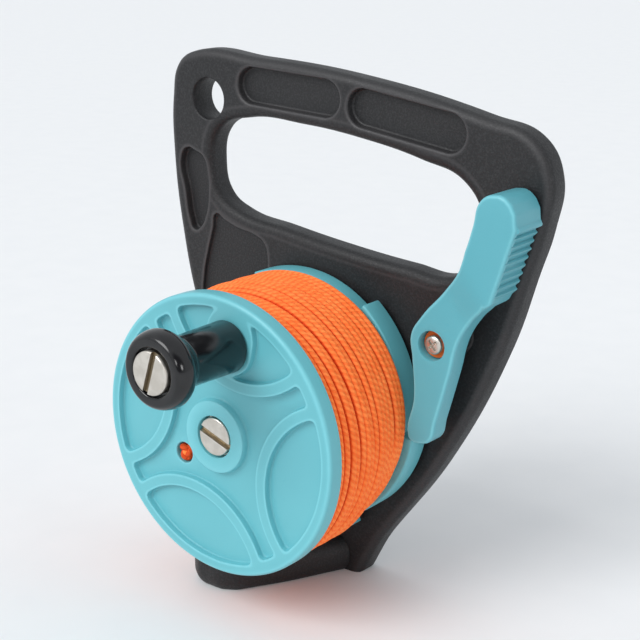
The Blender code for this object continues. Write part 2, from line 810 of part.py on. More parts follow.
def make_front_flange(surface):
    """The front flange with its petals, star, knob pad, hub boss and line hole."""
    rim_back = FLANGE_FRONT + FLANGE_EDGE
    profile = [(0.0, FLANGE_FRONT), (FLANGE_RADIUS - FLANGE_EDGE, FLANGE_FRONT)]
    rounding = arc(
        (FLANGE_RADIUS - FLANGE_EDGE, rim_back), FLANGE_EDGE, -math.pi / 2, 0.0, EDGE_STEPS + 2
    )
    profile += rounding[1:] + [(FLANGE_RADIUS, FLANGE_BACK), (0.0, FLANGE_BACK)]
    flange = turned_form("spool_front_flange", profile, steps=2 * TURN_STEPS)
    put(flange, surface, parent=SPOOL_AXIS)
    top = FLANGE_FRONT - OVERRUN
    floor = FLANGE_FRONT + FACE_DEPTH
    loops = [(star_outline(), False)]
    loops += [
        (petal_outline(PETAL_TURN + math.tau * petal / PETAL_COUNT), False)
        for petal in range(PETAL_COUNT)
    ]
    cut(flange, outline_form("face_recesses", loops, floor - top, (floor + top) / 2))
    boss = [
        (0.0, BOSS_FRONT),
        (BOSS_TOP_RADIUS, BOSS_FRONT),
        (BOSS_BASE_RADIUS, floor),
        (BOSS_BASE_RADIUS, floor + GAP),
        (0.0, floor + GAP),
    ]
    join(flange, turned_form("hub_boss", boss))
    knob_x, knob_z = polar(KNOB_OFFSET, KNOB_TURN)
    pad_end = polar(FLANGE_RADIUS - RIM_WIDTH / 2 - KNOB_PAD_RADIUS, KNOB_TURN)
    pad = stadium((knob_x, knob_z), pad_end, KNOB_PAD_RADIUS)
    pad_back = floor + GAP
    middle = (FLANGE_FRONT + pad_back) / 2
    join(flange, outline_form("knob_pad", [(pad, False)], pad_back - FLANGE_FRONT, middle))
    cut(flange, stepped_bore("hub_bore"))
    hole = rod_form("line_hole", LINE_HOLE_RADIUS, BOSS_FRONT, FLANGE_BACK + OVERRUN, steps=SMALL_STEPS)
    cut(flange, hole, *polar(LINE_HOLE_OFFSET, LINE_HOLE_TURN))
    pocket_floor = FLANGE_BACK - KNOB_NUT_THICKNESS - 2 * GAP
    pocket = hex_form("knob_nut_pocket", KNOB_NUT_FLATS + 2 * GAP, pocket_floor, FLANGE_BACK + OVERRUN)
    cut(flange, pocket, knob_x, knob_z)
    cut(
        flange,
        rod_form("knob_screw_hole", KNOB_BORE, top, FLANGE_BACK + OVERRUN, steps=SMALL_STEPS),
        knob_x,
        knob_z,
    )


def make_ratchet_flange(surface):
    """The rear flange with the ratchet's teeth round its edge."""
    step = math.tau / TOOTH_COUNT
    outline = []
    for tooth in reversed(range(TOOTH_COUNT)):
        for index in range(TOOTH_STEPS + 1):
            fall = index / TOOTH_STEPS
            turn = TOOTH_TURN + (tooth - fall) * step
            outline.append(polar(RATCHET_RADIUS - TOOTH_HEIGHT * fall, turn))
    middle = (RATCHET_FRONT + RATCHET_BACK) / 2
    flange = outline_form(
        "spool_ratchet_flange", [(outline, False)], RATCHET_THICKNESS, middle, RATCHET_EDGE
    )
    put(flange, surface, parent=SPOOL_AXIS)
    cut(flange, rod_form("ratchet_bore", HUB_BORE, RATCHET_FRONT - OVERRUN, RATCHET_BACK + OVERRUN))
    seat_floor = RATCHET_FRONT + DRUM_SEAT
    cut(flange, rod_form("rear_seat", DRUM_RADIUS + GAP, RATCHET_FRONT - OVERRUN, seat_floor))


def make_drum(surface):
    """The tube between the flanges, its ends seated in both."""
    front = FLANGE_BACK - DRUM_SEAT + GAP
    back = RATCHET_FRONT + DRUM_SEAT - GAP
    put(ring_form("spool_drum", DRUM_RADIUS, HUB_BORE, front, back), surface, parent=SPOOL_AXIS)


def winding_start():
    """The depth of the first loop's centre, so that the loops fill the span evenly."""
    pitch = LINE_DIAMETER + LINE_GAP
    room = LINE_SPAN - LINE_DIAMETER - 2 * GAP
    return FLANGE_BACK + (LINE_SPAN - int(room / pitch) * pitch) / 2


def winding_end():
    """The depth of the last loop's centre."""
    return RATCHET_FRONT - (winding_start() - FLANGE_BACK)


def tuck_bend(turn, depth, side):
    """Points that turn the line inwards at one end of the winding and run straight to the core.

    The side is 1 where the line runs on counterclockwise and -1 where it runs on clockwise.
    """
    out = Vector((math.cos(turn), 0.0, math.sin(turn)))
    along = Vector((-math.sin(turn), 0.0, math.cos(turn))) * side
    centre = out * (WINDING_RADIUS - LINE_DIAMETER) + Vector((0.0, depth, 0.0))
    points = []
    for index in range(1, BEND_POINTS + 1):
        bend = math.pi / 2 * index / BEND_POINTS
        points.append(centre + (out * math.cos(bend) + along * math.sin(bend)) * LINE_DIAMETER)
    points.append(points[-1] - out * LINE_DIAMETER)
    return points


def winding_route():
    """The outer layer's helix, with each end tucked into the layers below."""
    start = winding_start()
    loops = round((winding_end() - start) / (LINE_DIAMETER + LINE_GAP))
    route = []
    for index in range(loops * LOOP_POINTS + 1):
        turn = LINE_START + math.tau * index / LOOP_POINTS
        depth = start + (LINE_DIAMETER + LINE_GAP) * index / LOOP_POINTS
        x, z = polar(WINDING_RADIUS, turn)
        route.append(Vector((x, depth, z)))
    first = tuck_bend(LINE_START, start, -1)
    last = tuck_bend(LINE_START, winding_end(), 1)
    return first[::-1] + route + last


def print_least_gap(name, route, diameter, apart):
    """Prints the least gap between stretches of one tube that are at least some points apart."""
    least = min(
        (a - b).length
        for index, a in enumerate(route)
        for b in route[index + apart :]
    )
    print(f"{name}: least gap to itself {(least - diameter) / MM:.2f} mm")


def make_line(surface):
    """The wound line: a core for the inner layers, the outer layer's loops and the knot."""
    front = FLANGE_BACK + GAP
    back = RATCHET_FRONT - GAP
    core = ring_form("line_core", CORE_RADIUS, DRUM_RADIUS + GAP, front, back, CORE_EDGE, 2 * TURN_STEPS)
    put(core, surface, parent=SPOOL_AXIS)
    route = winding_route()
    print_least_gap("line_winding", route, LINE_DIAMETER, LOOP_POINTS // 2)
    winding = tube_form("line_winding", route, LINE_DIAMETER)
    put(winding, surface, parent=SPOOL_AXIS)
    for end, point in (("first", route[0]), ("last", route[-1])):
        cut_tuck(core, end, point)
    make_knot(surface)


def cut_tuck(core, end, point):
    """Opens the core where an end of the outer layer runs into it."""
    mesh = bpy.data.meshes.new("tuck")
    form = bmesh.new()
    inward = Vector((point.x, 0.0, point.z)).normalized()
    reach = WINDING_RADIUS + OVERRUN
    floor = WINDING_RADIUS - 2 * LINE_DIAMETER - GAP
    bmesh.ops.create_cone(
        form,
        cap_ends=True,
        segments=SMALL_STEPS,
        radius1=LINE_DIAMETER,
        radius2=LINE_DIAMETER,
        depth=reach - floor,
    )
    form.to_mesh(mesh)
    form.free()
    cutter = bpy.data.objects.new(f"{end}_tuck", mesh)
    cutter.rotation_euler = inward.to_track_quat("Z", "Y").to_euler()
    cutter.location = inward * (reach + floor) / 2 + Vector((0.0, point.y, 0.0))
    cut(core, cutter)


def make_knot(surface):
    """The knot that holds the line's end in the front flange."""
    radius = LINE_HOLE_RADIUS - KNOT_CLEARANCE
    mesh = bpy.data.meshes.new("line_knot")
    form = bmesh.new()
    bmesh.ops.create_uvsphere(form, u_segments=SMALL_STEPS, v_segments=SMALL_STEPS // 2, radius=radius)
    bmesh.ops.scale(form, vec=Vector((1.0, KNOT_FLATNESS_SHARE, 1.0)), verts=form.verts)
    form.to_mesh(mesh)
    form.free()
    knot = bpy.data.objects.new("line_knot", mesh)
    knot.location.y = FLANGE_BACK - radius * KNOT_FLATNESS_SHARE
    mesh.shade_smooth()
    put(knot, surface, *polar(LINE_HOLE_OFFSET, LINE_HOLE_TURN), parent=SPOOL_AXIS)


def make_knob_screw(steel):
    """The knob's screw through the front flange, and the nut in the flange's back."""
    x, z = polar(KNOB_OFFSET, KNOB_TURN)
    head_back = KNOB_HEAD_FRONT + KNOB_HEAD_THICKNESS
    nut_back = FLANGE_BACK - GAP
    profile = [
        (0.0, KNOB_HEAD_FRONT),
        (KNOB_HEAD_RADIUS - HEAD_EDGE, KNOB_HEAD_FRONT),
        (KNOB_HEAD_RADIUS, KNOB_HEAD_FRONT + HEAD_EDGE),
        (KNOB_HEAD_RADIUS, head_back),
        (KNOB_SCREW_RADIUS, head_back),
        (KNOB_SCREW_RADIUS, nut_back),
        (0.0, nut_back),
    ]
    screw = put(turned_form("knob_screw", profile), steel, x, z, SPOOL_AXIS)
    slot = bar_form(
        "knob_slot",
        KNOB_SLOT_WIDTH,
        2 * KNOB_HEAD_RADIUS + OVERRUN,
        KNOB_HEAD_FRONT - OVERRUN,
        KNOB_HEAD_FRONT + KNOB_SLOT_DEPTH,
        KNOB_SLOT_TURN,
    )
    cut(screw, slot, x, z)
    nut = hex_form("knob_nut", KNOB_NUT_FLATS, nut_back - KNOB_NUT_THICKNESS, nut_back)
    put(nut, steel, x, z, SPOOL_AXIS)
    bore = rod_form("knob_nut_bore", KNOB_BORE, FLANGE_FRONT, FLANGE_BACK + OVERRUN, steps=SMALL_STEPS)
    cut(nut, bore, x, z)


def make_knob(surface):
    """The mushroom-shaped crank knob, free to turn on its screw."""
    cap_back = KNOB_FRONT + KNOB_CAP_DEPTH
    recess = KNOB_HEAD_RADIUS + KNOB_RECESS_MARGIN
    recess_floor = KNOB_HEAD_FRONT + KNOB_HEAD_THICKNESS + GAP
    crown = recess + KNOB_LIP
    profile = [(recess, KNOB_FRONT)]
    profile += [
        (
            crown + (KNOB_CAP_RADIUS - crown) * math.sin(turn),
            cap_back - KNOB_CAP_DEPTH * math.cos(turn),
        )
        for turn in (math.pi / 2 * step / KNOB_STEPS for step in range(KNOB_STEPS + 1))
    ]
    for step in range(1, KNOB_STEPS + 1):
        share = step / KNOB_STEPS
        swell = (KNOB_CAP_RADIUS - KNOB_WAIST_RADIUS) * (1 + math.cos(math.pi * share)) / 2
        profile.append((KNOB_WAIST_RADIUS + swell, cap_back + KNOB_FLARE * share))
    profile += [
        (KNOB_RADIUS, KNOB_BACK - KNOB_EDGE),
        (KNOB_RADIUS - KNOB_EDGE, KNOB_BACK),
        (KNOB_BORE, KNOB_BACK),
        (KNOB_BORE, recess_floor),
        (recess, recess_floor),
    ]
    put(turned_form("crank_knob", profile), surface, parent=KNOB_AXIS)


def on_lever(shares):
    """A point of the lever from its pivot, in the lever's own frame."""
    return shares[0] * LEVER_WIDTH, shares[1] * LEVER_LENGTH


def lever_tilt():
    """How far the lever turns from its own frame so that its pawl just clears the teeth."""
    tip_x, tip_z = on_lever(PAWL_TIP_SHARES)
    reach = math.hypot(tip_x, tip_z)
    clear = RATCHET_RADIUS + PAWL_CLEARANCE
    inside = (PIVOT_OFFSET**2 + reach**2 - clear**2) / (2 * PIVOT_OFFSET * reach)
    return PIVOT_TURN + math.pi + math.acos(inside) - math.tau - math.atan2(tip_z, tip_x)


def serrated_outline():
    """The thumb pad's outline, with a row of small steps on its right side."""
    start = Vector(on_lever(SERRATION_START_SHARES))
    end = Vector(on_lever(SERRATION_END_SHARES))
    step = (end - start) / SERRATION_COUNT
    inward = Vector((-step.y, step.x)).normalized() * SERRATION_DEPTH
    points = []
    for index in range(SERRATION_COUNT):
        points.append(start + step * index + inward)
        points.append(start + step * (index + 1))
    return [tuple(point) for point in points] + [on_lever(shares) for shares in PAD_SHARES]


def make_lever(surface):
    """The thumb lever: a pawl arm, and a deep pad with serrations for the thumb."""
    arm = [on_lever(shares) for shares in LEVER_SHARES]
    middle = (ARM_FRONT + ARM_BACK) / 2
    lever = outline_form("thumb_lever", [(arm, True)], ARM_THICKNESS, middle, LEVER_EDGE)
    put(lever, surface, parent=LEVER_AXIS)
    pad = outline_form(
        "thumb_pad", [(serrated_outline(), False)], PAD_DEPTH, (PAD_FRONT + PAD_BACK) / 2, LEVER_EDGE / 2
    )
    join(lever, pad)
    bore = LEVER_SCREW_RADIUS + GAP
    cut(lever, rod_form("lever_bore", bore, ARM_FRONT, ARM_BACK + OVERRUN, steps=SMALL_STEPS))
    recess_floor = ARM_FRONT + LEVER_RECESS_DEPTH
    cut(lever, rod_form("lever_recess", LEVER_RECESS_RADIUS, ARM_FRONT - OVERRUN, recess_floor))


def make_lever_screw(steel, orange):
    """The cross-head screw that the lever swings on, and the washer under its head."""
    x, z = polar(PIVOT_OFFSET, PIVOT_TURN)
    washer_back = ARM_FRONT + LEVER_RECESS_DEPTH - GAP
    washer_front = washer_back - LEVER_WASHER_THICKNESS
    head_back = washer_front - GAP
    head_front = head_back - LEVER_HEAD_THICKNESS
    end = PLATE_BACK - SCREW_END_INSET
    profile = [(0.0, head_front), (LEVER_HEAD_RADIUS - HEAD_EDGE, head_front)]
    profile += [(LEVER_HEAD_RADIUS, head_front + HEAD_EDGE), (LEVER_HEAD_RADIUS, head_back)]
    profile += [(LEVER_SCREW_RADIUS, head_back), (LEVER_SCREW_RADIUS, end), (0.0, end)]
    screw = put(turned_form("lever_screw", profile, SMALL_STEPS), steel, x, AXIS_HEIGHT + z)
    for index, turn in enumerate((math.pi / 4, -math.pi / 4)):
        cross = bar_form(
            f"cross_{index}",
            2 * LEVER_HEAD_RADIUS * CROSS_WIDTH_SHARE,
            2 * LEVER_HEAD_RADIUS * CROSS_LENGTH_SHARE,
            head_front - OVERRUN,
            head_front + CROSS_DEPTH,
            turn,
        )
        cut(screw, cross, x, AXIS_HEIGHT + z)
    washer = ring_form(
        "lever_washer",
        LEVER_RECESS_RADIUS - GAP,
        LEVER_SCREW_RADIUS + GAP,
        washer_front,
        washer_back,
        steps=SMALL_STEPS,
    )
    put(washer, orange, x, AXIS_HEIGHT + z)


def spring_route():
    """The torsion spring's coils round the post, with a straight leg at each end."""
    radius = POST_RADIUS + GAP + SPRING_WIRE / 2
    front = ARM_BACK + GAP + SPRING_WIRE / 2
    back = PLATE_FRONT - POST_BASE_HEIGHT - GAP - SPRING_WIRE / 2
    count = round(SPRING_TURNS * SPRING_LOOP_POINTS)
    route = []
    for index in range(count + 1):
        x, z = polar(radius, math.tau * index / SPRING_LOOP_POINTS)
        route.append(Vector((x, front + (back - front) * index / count, z)))
    front_leg = (route[0] - route[1]).normalized() * SPRING_LEG
    back_leg = (route[-1] - route[-2]).normalized() * SPRING_LEG
    front_leg.y = 0.0
    back_leg.y = 0.0
    return [route[0] + front_leg] + route + [route[-1] + back_leg]


def make_spring(steel):
    """The torsion spring that swings the lever back, round the post behind the lever."""
    route = spring_route()
    print_least_gap("lever_spring", route[1:-1], SPRING_WIRE, SPRING_LOOP_POINTS // 2)
    x, z = polar(PIVOT_OFFSET, PIVOT_TURN)
    put(tube_form("lever_spring", route, SPRING_WIRE), steel, x, AXIS_HEIGHT + z)


clear_scene()
PARTS = new_collection("dive_reel")
CUTTERS = new_collection("cutters")
SPOOL_AXIS = axis_empty("spool_axis", 0.0, AXIS_HEIGHT)
KNOB_AXIS = axis_empty("knob_axis", *polar(KNOB_OFFSET, KNOB_TURN), SPOOL_AXIS)
PIVOT_X, PIVOT_Z = polar(PIVOT_OFFSET, PIVOT_TURN)
LEVER_AXIS = axis_empty("lever_axis", PIVOT_X, AXIS_HEIGHT + PIVOT_Z)
LEVER_AXIS.rotation_euler.y = -lever_tilt()

BLACK = material("black_plastic", (0.020, 0.020, 0.021), 0.55)
GLOSS = material("gloss_black", (0.006, 0.006, 0.007), 0.12)
TURQUOISE = material("turquoise_plastic", (0.090, 0.500, 0.600), 0.42)
STEEL = material("nickel_steel", (0.62, 0.60, 0.57), 0.28, 1.0)
BRASS = material("sleeve_brass", (0.55, 0.40, 0.18), 0.35, 1.0)
ORANGE = material("orange_line", (0.90, 0.150, 0.015), 0.75)

make_handle_plate(BLACK)
make_foot(BLACK)
make_spindle(STEEL, BRASS)
make_front_flange(TURQUOISE)
make_ratchet_flange(TURQUOISE)
make_drum(TURQUOISE)
make_line(ORANGE)
make_knob_screw(STEEL)
make_knob(GLOSS)
make_lever(TURQUOISE)
make_lever_screw(STEEL, ORANGE)
make_spring(STEEL)
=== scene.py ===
"""The dive reel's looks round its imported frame: moulded plate, spool, braided line, knob and lever.

Every length in the sections is in millimetres, in the frame's own axes: X right, Y back, Z up.
"""

import math

import bpy
import numpy as np
from mathutils.geometry import delaunay_2d_cdt
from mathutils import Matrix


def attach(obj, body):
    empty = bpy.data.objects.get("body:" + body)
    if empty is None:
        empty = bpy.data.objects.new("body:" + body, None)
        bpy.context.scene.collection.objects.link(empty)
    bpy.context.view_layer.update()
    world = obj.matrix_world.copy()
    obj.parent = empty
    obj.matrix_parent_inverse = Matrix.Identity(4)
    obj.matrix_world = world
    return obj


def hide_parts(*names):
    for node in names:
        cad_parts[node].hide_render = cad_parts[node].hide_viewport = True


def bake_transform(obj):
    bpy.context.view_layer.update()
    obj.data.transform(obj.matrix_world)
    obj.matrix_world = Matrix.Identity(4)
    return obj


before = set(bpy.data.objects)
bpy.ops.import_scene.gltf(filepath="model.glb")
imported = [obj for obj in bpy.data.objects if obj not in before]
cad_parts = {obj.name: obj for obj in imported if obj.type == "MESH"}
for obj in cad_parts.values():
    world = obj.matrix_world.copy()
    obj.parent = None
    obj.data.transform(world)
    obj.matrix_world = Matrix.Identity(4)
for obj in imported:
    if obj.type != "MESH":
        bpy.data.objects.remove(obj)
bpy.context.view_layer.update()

# HANDLE PLATE
# One flat moulding of black filled nylon with a finger grip, a lanyard hole and shallow coring
# pockets. Its edges are rounded over for the hand, and its faces carry the mould's fine spark grain.

MM = 0.001
PLATE_SIZE = np.array([131.3, 151.43])
PLATE_FACE = 4.5
PLATE_ROUND = 2.6
# The pitches of the contours' grids, how far beside a cut and inside the rim lie more lines, and
# half the side of the square round the nut's seat; the first line inside the rim also centres the
# painted highlight along the grip's edge.
PLATE_PITCH, CUT_PITCH = 0.8, 0.7
POCKET_LINE, SLOT_LINE = 1.3, 1.5
HIGHLIGHT_LINES = [3.4, 4.2]
NUT_WINDOW = 9
AXIS = np.array([0.0, 54.5])
PIVOT = np.array([47.65, 81.37])
LANYARD = np.array([-42.15, 137.87])
LANYARD_RADIUS, LANYARD_ROUND = 6.1, 0.6
BOLT_HOLE = 3.3
NUT_FLATS = 10.6
# Each pocket's depth, then how far it rounds over its edge and into its floor.
POCKET_WALLS = [(2.4, 0.5, 0.6), (1.3, 0.4, 0.5)]
SLOT_WALL = (2.5, 0.8, 0.6)
NUT_WALL = (4.6, 0.2, 0.2)
# The lever post's radii and heights, from its screw hole out to the plate's face.
POST_RADIUS, POST_BASE = 3.2, 2.6
POST_ROWS = np.array(
    [(2.3, -6.3), (2.34, 6.2), (2.9, 6.2), (3.1, 6.1), (POST_RADIUS, 5.9), (3.24, 2.8),
     (3.4, POST_BASE), (4.5, POST_BASE), (4.6, 2.55), (4.7, 2.3), (4.74, 0.4), (5.1, 0.0)]
)

PLATE_SHARES = [
    (-0.4400, 0.800), (-0.4380, 0.910), (-0.4190, 0.974), (-0.3750, 0.999), (-0.1780, 0.997),
    (0.1080, 0.976), (0.4040, 0.929), (0.5190, 0.900), (0.5620, 0.836), (0.5500, 0.745),
    (0.5200, 0.661), (0.4670, 0.520), (0.3300, 0.282), (0.1810, 0.100), (0.0270, -0.080),
    (-0.0850, -0.080), (-0.1520, 0.050), (-0.2530, 0.235), (-0.3720, 0.470), (-0.4210, 0.650),
]
GRIP_SIZE = np.array([95.0, 34.0])
GRIP_CENTRE = np.array([0.0457, 0.765]) * PLATE_SIZE
GRIP_SHARES = [
    (-0.500, 0.040), (-0.470, 0.390), (-0.350, 0.515), (-0.130, 0.510), (0.080, 0.450),
    (0.290, 0.340), (0.440, 0.200), (0.500, -0.080), (0.485, -0.400), (0.400, -0.560),
    (0.250, -0.545), (0.000, -0.480), (-0.210, -0.400), (-0.400, -0.310), (-0.475, -0.180),
]
SLOT_SHARES = [((-0.190, 0.944), (0.012, 0.934)), ((0.114, 0.923), (0.327, 0.896))]
SLOT_RADIUS = 5.3
POCKET_SHARES = [
    [
        (-0.410, 0.785), (-0.392, 0.808), (-0.362, 0.803), (-0.340, 0.793), (-0.328, 0.760),
        (-0.326, 0.720), (-0.334, 0.680), (-0.355, 0.648), (-0.373, 0.642), (-0.386, 0.662),
        (-0.398, 0.720),
    ],
    [
        (-0.304, 0.682), (-0.276, 0.672), (-0.239, 0.661), (-0.189, 0.653), (-0.159, 0.639),
        (-0.150, 0.615), (-0.158, 0.560), (-0.200, 0.500), (-0.260, 0.462), (-0.315, 0.460),
        (-0.346, 0.500), (-0.344, 0.555), (-0.330, 0.605), (-0.314, 0.652),
    ],
]


def smooth_outline(knots, steps=16, taut=2.5614):
    """A closed curve through the knots: a cubic Bezier between each two. Each handle points along
    the sum of both sides' headings; its length is the stretch's over that sum's and over taut."""
    here = np.array(knots)
    ahead = np.roll(here, -1, axis=0) - here
    length = np.linalg.norm(ahead, axis=1, keepdims=True)
    lean = ahead / length + np.roll(ahead / length, 1, axis=0)
    lean /= taut * np.linalg.norm(lean, axis=1, keepdims=True)
    leaving = here + lean * length
    arriving = np.roll(here - lean * np.roll(length, 1, axis=0), -1, axis=0)
    share = np.linspace(0, 1, steps, endpoint=False)[None, :, None]
    near = here[:, None] * (1 - share) ** 3 + 3 * leaving[:, None] * share * (1 - share) ** 2
    far = 3 * arriving[:, None] * share**2 * (1 - share)
    return (near + far + np.roll(here, -1, axis=0)[:, None] * share**3).reshape(-1, 2)


def inside(loop):
    """The distance from any place to a closed outline, above zero inside it: the least distance to
    its straight stretches, with the sign of how often a line to the right crosses them."""
    edge = np.roll(loop, -1, axis=0) - loop
    square = (edge**2).sum(axis=1)

    def measure(places):
        flat = np.asarray(places).reshape(-1, 2)
        found = []
        for block in np.array_split(flat, len(flat) // 4000 + 1):
            away = block[:, None] - loop
            share = np.clip((away * edge).sum(axis=2) / square, 0, 1)
            near = ((away - share[..., None] * edge) ** 2).sum(axis=2).min(axis=1)
            beside = away[..., 0] * edge[:, 1] - away[..., 1] * edge[:, 0]
            spans = (away[..., 1] < 0) != (away[..., 1] - edge[:, 1] < 0)
            odd = (spans & ((beside < 0) == (edge[:, 1] > 0))).sum(axis=1) % 2
            found.append(np.sqrt(near) * (2 * odd - 1))
        return np.concatenate(found).reshape(np.shape(places)[:-1])

    return measure


def from_centre(centre):
    """The distance from any place to one centre."""
    return lambda places: np.linalg.norm(np.asarray(places) - centre, axis=-1)


def from_run(start, end):
    """The distance from any place to a straight stretch between two places."""
    run = end - start

    def measure(places):
        share = np.clip(((places - start) * run).sum(axis=-1) / (run**2).sum(), 0, 1)
        return np.linalg.norm(places - start - share[..., None] * run, axis=-1)

    return measure


def past(to_centre, radius):
    """The distance to a round hole's centre less its radius, above zero outside the hole."""
    return lambda places: to_centre(places) - radius


def least(*sides):
    """The least of several distances into a shape, as one function of the place."""
    return lambda places: np.min([side(places) for side in sides], axis=0)


def towards(turn):
    """The unit direction at a turn from the plan's first axis: its cosine and its sine."""
    return np.stack([np.cos(turn), np.sin(turn)], axis=-1)


def contours(field, low, high, pitch, levels):
    """Points and joins of the lines where a function of the place has each level: its crossings
    with a square grid's lines, joined inside each cell and slid along the slope onto the level."""
    across = np.arange(low[0], high[0] + pitch, pitch)
    along = np.arange(low[1], high[1] + pitch, pitch)
    grid = np.stack(np.meshgrid(across, along, indexing="ij"), axis=-1)
    height = field(grid)
    points, joins = [np.empty((0, 2))], [np.empty((0, 2), int)]
    for level in levels:
        above = height > level
        names, found = [], []
        for step in (np.array([1, 0]), np.array([0, 1])):
            gap = above[step[0]:, step[1]:] != above[: len(across) - step[0], : len(along) - step[1]]
            first, second = np.nonzero(gap)
            start = height[first, second]
            end = height[first + step[0], second + step[1]]
            share = np.clip((level - start) / (end - start), 0.15, 0.85)[:, None]
            name = np.full(gap.shape, -1)
            name[gap] = np.arange(len(first)) + sum(map(len, found))
            names.append(name)
            found.append(grid[first, second] + share * pitch * step)
        sides = np.stack([names[0][:, :-1], names[1][1:], names[0][:, 1:], names[1][:-1]])
        full = (sides >= 0).sum(axis=0)
        pairs = [np.sort(sides[:, full == 2], axis=0)[2:].T]
        pairs += [sides[:, full == 4][[0, 3]].T, sides[:, full == 4][[1, 2]].T]
        joins.append(np.vstack(pairs) + sum(map(len, points)))
        points.append(slid(field, np.vstack(found), level, pitch))
    return np.vstack(points), np.vstack(joins)


def slid(field, places, level, pitch):
    """The places moved along the slope of a function until it has the level there."""
    steps = 0.02 * pitch * np.eye(2)
    for _ in range(3):
        slope = np.stack([field(places + step) - field(places - step) for step in steps], axis=-1)
        slope /= 0.04 * pitch
        short = (level - field(places)) / np.maximum((slope**2).sum(axis=-1), 0.1)
        places = places + np.clip(short, -pitch, pitch)[:, None] * slope
    return places


def circles(centre, radii, count):
    """Points and joins of circles round one centre."""
    ring = towards(np.linspace(0, math.tau, count, endpoint=False))
    points = centre + np.asarray(radii)[:, None, None] * ring
    start = np.arange(len(radii) * count).reshape(-1, count)
    joins = np.stack([start, np.roll(start, -1, axis=1)], axis=-1)
    return points.reshape(-1, 2), joins.reshape(-1, 2)


def rounding(radius, steps=5):
    """Rows of distance from an edge and depth under the face: a quarter circle, then the flat."""
    turn = np.linspace(0, math.pi / 2, steps + 1)
    rows = np.stack([radius * (1 - np.cos(turn)), radius * (1 - np.sin(turn))], axis=1)
    return np.vstack([rows, [(radius + 0.25, 0.0)]])


def pocket_wall(depth, top, floor, steps=4):
    """Rows of distance into a pocket and depth: a quarter circle over its edge, a steep wall with
    the mould's draft, and a quarter circle into its floor."""
    turn = np.linspace(0, math.pi / 2, steps + 1)
    over = np.stack([top * (np.sin(turn) - 1), top * (1 - np.cos(turn))], axis=1)
    lean = 0.02 + 0.06 * (depth - top - floor)
    into = np.stack([lean + floor * (1 - np.cos(turn)), depth - floor * (1 - np.sin(turn))], axis=1)
    return np.vstack([[(-top - 0.2, 0.0)], over, into, [(lean + floor + 0.2, depth)]])


def depth_at(distance, rows):
    """The depth that rows of distance and depth give at any distance."""
    return np.interp(distance, rows[:, 0], rows[:, 1])


def plan(solid, *lines):
    """The places and triangles of a flat shape, its triangles' edges following every given line."""
    points, joins = [], []
    for places, pairs in lines:
        joins.append(pairs + sum(map(len, points)))
        points.append(places)
    corners, _, triangles, *_ = delaunay_2d_cdt(
        np.vstack(points).tolist(), np.vstack(joins).tolist(), [], 0, 1e-4, False
    )
    corners = np.array([tuple(corner) for corner in corners])
    triangles = np.array(triangles)
    triangles = triangles[solid(corners[triangles].mean(axis=1)) > 0]
    used, names = np.unique(triangles, return_inverse=True)
    return corners[used], names.reshape(-1, 3)


def make_piece(name, points, faces, finish, sharp=40):
    """One mesh object at the origin from points in millimetres, shaded smooth up to an angle."""
    mesh = bpy.data.meshes.new(name)
    mesh.from_pydata((np.asarray(points) * MM).tolist(), [], faces)
    mesh.shade_smooth()
    mesh.set_sharp_from_angle(angle=math.radians(sharp))
    mesh.materials.append(finish.material)
    piece = bpy.data.objects.new(name, mesh)
    bpy.context.scene.collection.objects.link(piece)
    return piece


def panel(name, triangles, skins, finish, flat=False, sharp=40):
    """Skins over one flat plan, each with its own places and depths: the first and last are faced
    with the plan's triangles, and walls along the plan's edges join each skin to the next. An
    upright panel lies in X and Z, a flat one in X and Y."""
    count = len(skins[0][0])
    starts, ends = triangles.ravel(), np.roll(triangles, -1, axis=1).ravel()
    edge = ~np.isin(starts * count + ends, ends * count + starts)
    wall = np.stack([ends, starts, starts, ends], axis=1)[edge] + (0, 0, count, count)
    walls = np.vstack([wall + count * step for step in range(len(skins) - 1)])
    points = np.vstack([np.column_stack([places, depths]) for places, depths in skins])
    last = triangles[:, ::-1] + count * (len(skins) - 1)
    used = np.unique(np.concatenate([triangles.ravel(), last.ravel(), walls.ravel()]))
    corners = [np.searchsorted(used, faces).tolist() for faces in (triangles, last, walls)]
    points = points[used] if flat else points[used][:, [0, 2, 1]]
    return make_piece(name, points, sum(corners, []), finish, sharp)


def crest(distance, middle, width):
    """A bell over a distance: 1 at its middle, and gone within about twice its width."""
    return np.exp(-(((distance - middle) / width) ** 2))


def mark(piece, name, front):
    """Keeps a value at each place of a panel's front skin for its finish, and zero elsewhere."""
    values = np.zeros(len(piece.data.vertices))
    values[: len(front)] = front
    piece.data.attributes.new(name, "FLOAT", "POINT").data.foreach_set("value", values)


def sign(operation, flipped=False):
    """A method for one sign of Signal: a Math node fed by both sides in their written order."""
    return lambda near, far: near.maths(operation, *((far, near) if flipped else (near, far)))


class Signal:
    """One value on its way through a finish. Signs between signals and numbers add Math nodes."""

    def __init__(self, finish, socket):
        self.finish = finish
        self.socket = socket

    def maths(self, operation, first, second=0.0):
        """A Math node of the same finish, fed by one or two values."""
        return self.finish.node("Math", {"operation": operation}, {0: first, 1: second})

    __add__, __radd__ = sign("ADD"), sign("ADD", True)
    __sub__, __rsub__ = sign("SUBTRACT"), sign("SUBTRACT", True)
    __mul__, __rmul__ = sign("MULTIPLY"), sign("MULTIPLY", True)
    __truediv__ = sign("DIVIDE")


